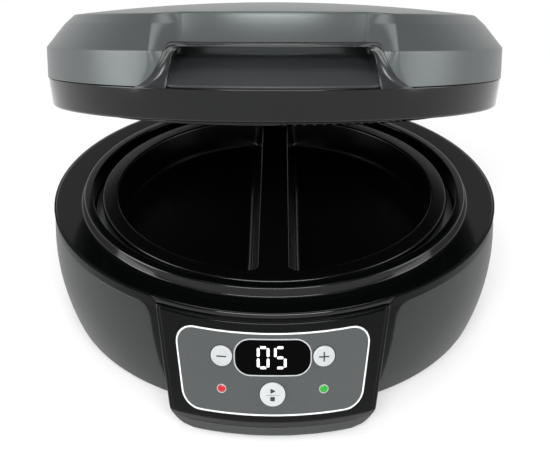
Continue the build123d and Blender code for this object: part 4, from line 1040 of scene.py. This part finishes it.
def flankAngles(height):
    # azimuths, asin(half width / radius), of the flank's inner edge on the scoop and outer edge on the crown
    s = crownSizes
    sweep = s["flare"] * np.clip((s["flareTop"] - height) / (s["flareTop"] - s["outer"][0][1]), 0, 1) ** 2
    rise = np.array(s["outer"][:3] + [(s["outer"][3][0] - s["domeInset"], s["outer"][3][1])])
    inner = np.degrees(np.arcsin((s["flankIn"] + s["innerShare"] * sweep) / scoopRadius(height)))
    outer = np.degrees(np.arcsin((s["flankOut"] + sweep) / np.interp(height, rise[:, 1], rise[:, 0])))
    return inner, np.maximum(outer, inner + s["leastFlank"])


def scoopShare(azimuth, height, shift=0.0):
    # 1 inside the scoop, 0 on the round crown, an S-curve up the flank between them
    inner, outer = flankAngles(height)
    return smoothStep((outer + shift - np.abs(azimuth)) / (outer - inner))


def domedSection(rows, edge, size):
    # a section's rows, the rounded edge above them, then the dome in to the middle
    s = crownSizes
    bend = roundedPath([tuple(rows[-1]), edge, domePoint(edge[0] - s["edgeRun"])], [size], steps=9)[1:]
    radii = bend[-1, 0] * (1 - np.linspace(0, 1, 27)[1:] ** s["domeEase"])
    return np.vstack([rows, bend, np.stack([radii, domeHeight(radii)], axis=1)])


def crownSections():
    # the round section and the scooped one, row for row: the side, the edge arc, then the dome to the middle
    s = crownSizes
    top = s["outer"][3]
    side = roundedPath(s["outer"] + [domePoint(s["apexRadius"])], s["rounds"] + [0], steps=9)
    rows = denseRuns(side, s["rowGap"])
    rows = rows[rows[:, 1] < top[1] - s["belowEdge"]]
    scoop = np.stack([scoopRadius(rows[:, 1]), rows[:, 1]], axis=1)
    return (domedSection(rows, top, s["plateauRound"]),
            domedSection(scoop, domePoint(s["scoopTop"][0]), s["lipRound"]))


def crownAzimuths(height, shift=0.0):
    # for each height: even steps over the scoop, close ones up each flank, wide ones round the back
    s = crownSizes
    inner, outer = flankAngles(height)
    marks = [0 * inner, inner + shift - s["margin"], outer + shift + s["margin"], 0 * outer + 180]
    half = stepped(marks, s["counts"])
    return np.concatenate([half, 360 - half[:, -2:0:-1]], axis=1)


def crownGrid(wall=0.0):
    # round section and scooped section blended by the scoop's share; with a wall given, the same skin that
    # far inside: drawn in by the side, lowered by the dome, its flanks moved round behind the outer ones
    s = crownSizes
    outer, inner = crownSections()
    limit = s["outer"][3][1]
    level = np.minimum(outer[:, 1], limit)
    shift = math.degrees(wall / s["scoopWaist"][0])
    azimuth = crownAzimuths(level, shift).T
    share = scoopShare(np.where(azimuth > 180, azimuth - 360, azimuth), level, shift)
    r, h = (outer[None, :, k] * (1 - share) + inner[None, :, k] * share for k in (0, 1))
    raised = smoothStep((h - s["turnFrom"]) / (limit - s["turnFrom"]))
    r = r - wall * (1 - s["turnShare"] * raised) * np.minimum(r / s["fadeRadius"], 1.0)
    h = h - wall * raised
    a = np.radians(azimuth)
    return np.stack([r * np.sin(a), -r * np.cos(a), lidSizes["z"] + h], axis=-1)


# the arch's outline on one side, from its toe on the seam up the sweep to its shoulder; the shape that cuts
# it out runs between two depths and down past the crown's lower edge
archSizes = {"toe": (64.0, 14.4), "seam": (60.2, 15.3), "sweep": (54.3, 19.4), "leg": (49.6, 28.0),
             "shoulder": (48.3, 34.5), "rounds": [3.0, 14.0, 22.0, 7.0],
             "cutFront": -200.0, "cutBack": -60.0, "cutSide": 0.5, "cutLow": 8.0}
mouthSizes = {"halfLow": 47.1, "halfTop": 44.8, "height": 32.3, "round": 5.5, "foot": 15.0,
              "toeOut": 0.2, "toeLow": 0.6, "toeHigh": 1.0, "toeRound": 0.5}


def archPath():
    # half outlines seen from the front: out along the seam, up the flare's curve, over the rounded shoulder
    s = archSizes
    corners = [(-s[name][0], s[name][1]) for name in ("toe", "seam", "sweep", "leg", "shoulder")]
    return mirroredPath(roundedPath(corners + [(0, s["shoulder"][1])], s["rounds"], steps=12))


def mouthPath():
    # the pocket's mouth seen from the front: up each leaning side and over a rounded corner
    s = mouthSizes
    points = [(-s["halfLow"] - s["toeOut"], s["foot"] - s["toeLow"]),
              (-s["halfLow"], s["foot"] + s["toeHigh"]), (-s["halfTop"], s["height"]), (0, s["height"])]
    return mirroredPath(roundedPath(points, [s["toeRound"], s["round"]], steps=12))


def surfaceY(x, h, sink=0.0, reach=70.0, halvings=36):
    # the crown's front surface above a point seen from the front: halve the azimuth's range until x agrees
    outer, _ = crownSections()
    rise = outer[:, 1] < crownSizes["outer"][3][1]
    ro, ri = np.interp(h, outer[rise, 1], outer[rise, 0]), scoopRadius(h)
    low, high = np.zeros(np.shape(x)), np.full(np.shape(x), reach)
    for _ in range(halvings):
        middle = (low + high) / 2
        share = scoopShare(middle, h)
        r = ro * (1 - share) + ri * share - sink
        beyond = r * np.sin(np.radians(middle)) > np.abs(x)
        low, high = np.where(beyond, low, middle), np.where(beyond, middle, high)
    return -np.sqrt(np.maximum(r ** 2 - np.asarray(x) ** 2, 0))


def archCutter():
    # the arch's outline seen from the front, carried along Y between two depths, closed and turned up
    s = archSizes
    arch = archPath()
    below = [(arch[-1, 0] + s["cutSide"], s["cutLow"]), (arch[0, 0] - s["cutSide"], s["cutLow"])]
    loop = np.vstack([arch, below])
    ends = [np.stack([loop[:, 0], np.full(len(loop), y), lidSizes["z"] + loop[:, 1]], axis=1)
            for y in (s["cutFront"], s["cutBack"])]
    return weldedMesh(facesMesh(openLid(np.vstack(ends)), prismFaces(len(loop))))


def makeCrown():
    # the outer skin and the one a wall inside it as one closed shell, less the arch
    skins = np.concatenate([crownGrid(crownSizes["wall"])[:, ::-1], crownGrid()], axis=1)
    solid = cutMesh(weldedMesh(gridMesh(openLid(skins), aroundRows=True)), archCutter())
    return newPiece("lidCrown", solid, "gunmetalLacquer", "lid", ("lid_crown",), sharp=38)


# across the trim: shares of the way from the arch to the mouth, and how far behind the crown's surface
trimSizes = {"stations": 260, "belowFoot": 1.0,
             "across": [0.0, 0.0, 0.0, 0.03, 0.1, 0.3, 0.5, 0.7, 0.9, 0.97, 1.0, 1.0],
             "sink": [3.2, 1.0, 0.5, 0.25, 0.15, 0.55, 0.75, 0.7, 0.35, 0.4, 0.8, 3.2]}


def makeTrim():
    # a band ruled between the arch and the mouth on the crown's surface, with a raised bead along each edge
    s = trimSizes
    outerLoop, innerLoop = (resampled(path, s["stations"]) for path in (archPath(), mouthPath()))
    v = np.array(s["across"])
    flat = outerLoop[:, None, :] + (innerLoop - outerLoop)[:, None, :] * v[None, :, None]
    least = mouthSizes["foot"] - s["belowFoot"]
    outerY, innerY = (surfaceY(loop[:, 0], np.maximum(loop[:, 1], least)) for loop in (outerLoop, innerLoop))
    y = outerY[:, None] + (innerY - outerY)[:, None] * v[None, :] + np.array(s["sink"])[None, :]
    grid = np.stack([flat[..., 0], y, lidSizes["z"] + flat[..., 1]], axis=-1)
    mesh = weldedMesh(gridMesh(openLid(grid), aroundColumns=True))
    return newPiece("handleTrim", mesh, "trimAbs", "lid", ("handle_trim",), sharp=50)


# radius and height of the pocket's sill, of the foot and top of its back wall, and of its ceiling's front
pocketSizes = {"sill": (122.0, 15.7), "foot": (95.0, 28.0), "back": (95.0, 33.0), "front": (106.0, 33.0),
               "play": 0.35, "rounds": [2.2, 1.6], "rowGap": 1.0, "corner": 3.0, "wall": 1.6, "sink": 1.6,
               "leastDepth": 0.05, "paintedHighlightAboveFoot": 0.4}


def pocketGrid(profile):
    # each point of the profile is the rear of a U seen from above, whose arms run forward to just under the
    # crown's surface: an arm, a quarter turn, the rear to the middle line, and their mirror image
    s, m = pocketSizes, mouthSizes
    radius, height = profile[:, 0:1], profile[:, 1]
    up = np.clip((height - m["foot"]) / (m["height"] - m["foot"]), 0, 1)
    half = m["halfLow"] + (m["halfTop"] - m["halfLow"]) * up + s["play"]
    front = surfaceY(half, np.minimum(height, m["height"]), s["sink"])[:, None]
    half = half[:, None]
    rear = np.maximum(-np.sqrt(radius ** 2 - half ** 2), front + s["leastDepth"])
    corner = np.minimum(s["corner"], 0.5 * (rear - front))
    armY = front + (rear - front - corner) * np.linspace(0, 1, 9)[None, :]
    turn = np.radians(np.linspace(0, 90, 8))[None, 1:]
    bendX = -half + corner * (1 - np.cos(turn))
    bendY = np.maximum(-np.sqrt(np.maximum(radius ** 2 - bendX ** 2, 0)), front) - corner * (1 - np.sin(turn))
    rearX = bendX[:, -1:] * np.linspace(1, 0, 24)[None, 1:]
    x = np.concatenate([np.broadcast_to(-half, armY.shape), bendX, rearX], axis=1)
    y = np.concatenate([armY, bendY, -np.sqrt(radius ** 2 - rearX ** 2)], axis=1)
    x, y = np.concatenate([x, -x[:, -2::-1]], axis=1), np.concatenate([y, y[:, -2::-1]], axis=1)
    return np.stack([x, y, np.broadcast_to(lidSizes["z"] + height[:, None], x.shape)], axis=-1)


def makePocket():
    # from the sill up the sloping floor, up the back wall and out along the ceiling; the back wall and the
    # ceiling take the crown's lighter lacquer, a painted highlight for the light the back wall catches; the
    # floor stays bare
    s = pocketSizes
    profile = denseProfile([s["sill"], s["foot"], s["back"], s["front"]], s["rounds"], s["rowGap"])
    grid = pocketGrid(profile)
    mesh = gridMesh(openLid(grid), flip=True)
    piece = newPiece("fingerPocket", mesh, "pocketAbs", "lid", ("handle_pocket",), sharp=50)
    # painted highlight: faces above the foot take the crown's lighter lacquer, for the light that the back
    # wall catches
    rows = (profile[:-1, 1] + profile[1:, 1]) / 2 > s["foot"][1] + s["paintedHighlightAboveFoot"]
    secondFinish(mesh, "gunmetalLacquer", np.repeat(rows, grid.shape[1] - 1))
    return addWall(piece, s["wall"])


def makeBand():
    # the closed profile: up the side, in along the top flange, back and down inside, in along the floor
    s = lidSizes
    wall, tip, root = s["bandWall"], s["bandTop"] - s["flange"], s["bandTop"] - s["flangeIn"]
    low, high = s["z"], s["z"] + s["bandHeight"]
    corners = [(s["bandLow"], low), (s["bandTop"], high), (tip, high), (tip, high - wall),
               (root, high - wall), (s["bandLow"] - wall, low + wall), (s["bandBore"], low + wall),
               (s["bandBore"], low)]
    mesh = closedMesh(openLid(turnedLoop(corners, s["rounds"])))
    return newPiece("lidBand", mesh, "glossAbs", "lid", ("lid_band",))


# wells: radius, half the divider, corner, and the wall's lean from its top to its floor; then the plate's lip
# and skirt; before and floorRun carry the wall's profile past its corners, floorRings shrink the floor's loop
plateSizes = {"well": 90.0, "half": 8.0, "corner": 5.0, "cornerShare": 0.6, "leastCorner": 1.0, "top": 66.5,
              "floor": 46.5, "lean": 3.53, "edge": 1.2, "foot": 5.0, "before": 3.0, "floorRun": 12.0,
              "floorRings": (0.85, 0.65, 0.4, 0.2, 0.0), "radius": 99.0, "lipIn": 3.0, "lipLow": 63.4,
              "skirt": 98.4, "skirtLow": 57.8, "lipRounds": [1.45, 0.3, 0.2], "wall": 2.6}


def moonLoop(inset):
    # half-moon outline drawn in by a distance: big arc, corner arc, straight side, corner arc
    s = plateSizes
    big, near = s["well"] - inset, s["half"] + inset
    c = max(s["corner"] - s["cornerShare"] * inset, s["leastCorner"])
    rise = math.sqrt((big - c) ** 2 - (near + c) ** 2)
    lead = math.atan2(rise, near + c)
    arc = np.linspace(-lead, lead, 90)
    bend = np.linspace(lead, math.pi, 14)[1:]
    side = np.linspace(rise, -rise, 48)[1:-1]
    upper = np.stack([near + c + c * np.cos(bend), rise + c * np.sin(bend)], axis=1)
    return np.vstack([np.stack([big * np.cos(arc), big * np.sin(arc)], axis=1), upper,
                      np.stack([np.full(side.shape, near), side], axis=1),
                      (upper * np.array([1, -1]))[::-1]])[:-1]


def wellGrid():
    # a half-moon loop for each point of the wall's profile, with extra ones down its straight run; the
    # floor's loops then shrink to one point
    s = plateSizes
    corners = [(-s["before"], s["top"]), (0, s["top"]), (s["lean"], s["floor"]),
               (s["lean"] + s["floorRun"], s["floor"])]
    path = roundedPath(corners, [s["edge"], s["foot"]], steps=9)[1:]
    straight = path[8] + (path[9] - path[8]) * np.linspace(0, 1, 9)[1:-1, None]
    rows = np.vstack([path[:9], straight, path[9:-1]])
    loops = [np.insert(moonLoop(inset), 2, z, axis=1) for inset, z in rows]
    middle = loops[-1].mean(axis=0)
    return np.stack(loops + [middle + (loops[-1] - middle) * share for share in s["floorRings"]])


def filledLoops(loops):
    # a flat mesh in metres between closed loops: their edges, then triangles that fill what lies between
    mesh = bpy.data.meshes.new("fill")
    mesh.from_pydata((np.vstack(loops) * toMetres).tolist(), loopEdges(loops), [])
    work = bmesh.new()
    work.from_mesh(mesh)
    bmesh.ops.triangle_fill(work, use_beauty=True, use_dissolve=False, edges=work.edges, normal=(0, 0, 1))
    work.to_mesh(mesh)
    work.free()
    return mesh


def joinedMesh(meshes, distance=1e-6):
    # several open skins welded into one, turned so that most of it faces up
    work = bmesh.new()
    for mesh in meshes:
        work.from_mesh(mesh)
        bpy.data.meshes.remove(mesh)
    bmesh.ops.remove_doubles(work, verts=work.verts, dist=distance)
    bmesh.ops.recalc_face_normals(work, faces=work.faces)
    if sum(f.normal.z * f.calc_area() for f in work.faces) < 0:
        bmesh.ops.reverse_faces(work, faces=work.faces)
    joined = bpy.data.meshes.new("joined")
    work.to_mesh(joined)
    work.free()
    return joined


def makeLowerPlate():
    # two wells, a lip and skirt turned about the middle, and a flat top between their outlines
    s = plateSizes
    mirror = np.array([-1, 1, 1])
    well = wellGrid()
    corners = [(s["radius"] - s["lipIn"], s["top"]), (s["radius"], s["top"]), (s["radius"], s["lipLow"]),
               (s["skirt"], s["lipLow"]), (s["skirt"], s["skirtLow"])]
    lip = latheGrid(roundedPath(corners, s["lipRounds"], steps=7)[1:], evenAround())
    meshes = [gridMesh(well, aroundColumns=True), gridMesh(well * mirror, aroundColumns=True),
              gridMesh(lip, aroundRows=True), filledLoops([lip[:, 0, :], well[0], well[0] * mirror])]
    piece = newPiece("lowerPlate", joinedMesh(meshes), "nonStickCoat", "base", ("lower_plate",), sharp=0)
    return addEvenNormals(addWall(piece, s["wall"]), weight=100, keepSharp=False)


makeCrown()
makeTrim()
makeBand()
makePocket()
copiedNode("upperPlate", "upper_plate", "nonStickCoat", "lid")
makeLowerPlate()
copiedNode("hingeHousing", "hinge_housing", "mouldedAbs", "base")
copiedNode("hingeArm", "lid_hinge_arm", "mouldedAbs", "lid")
copiedNode("hingePin", "hinge_pin", "zincSteel", "base")
copiedNode("cordGland", "cord_gland", "mouldedRubber", "base")
copiedNode("feet", "rubber_feet", "mouldedRubber", "base")
copiedNode("baseFloor", "bottom_cover", "mouldedAbs", "base")
print("lid and plates made")


# every other CAD node keeps its shape and takes its material
nodeFinishes = {
    "zincSteel": "lower_clamps upper_clamps lower_standoffs upper_standoffs lower_plate_screws "
                 "upper_plate_screws hinge_arm_screws lid_screws bottom_screws control_board_screws "
                 "power_board_screws",
    "heaterTube": "lower_heater upper_heater temperature_sensor thermal_fuse",
    "aluminisedSheet": "lower_heat_shield upper_heat_shield",
    "solderMask": "control_board power_board",
    "componentResin": "tact_switches power_relay display_module",
    "naturalNylon": "minus_plunger plus_plunger start_plunger hinge_bushes",
    "ribbonPvc": "ribbon_cable",
}
for finishName, names in nodeFinishes.items():
    for nodeName in names.split():
        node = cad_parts[nodeName]
        node.data.materials.clear()
        node.data.materials.append(finishes[finishName])
print("inner pieces finished")

bpy.context.view_layer.update()
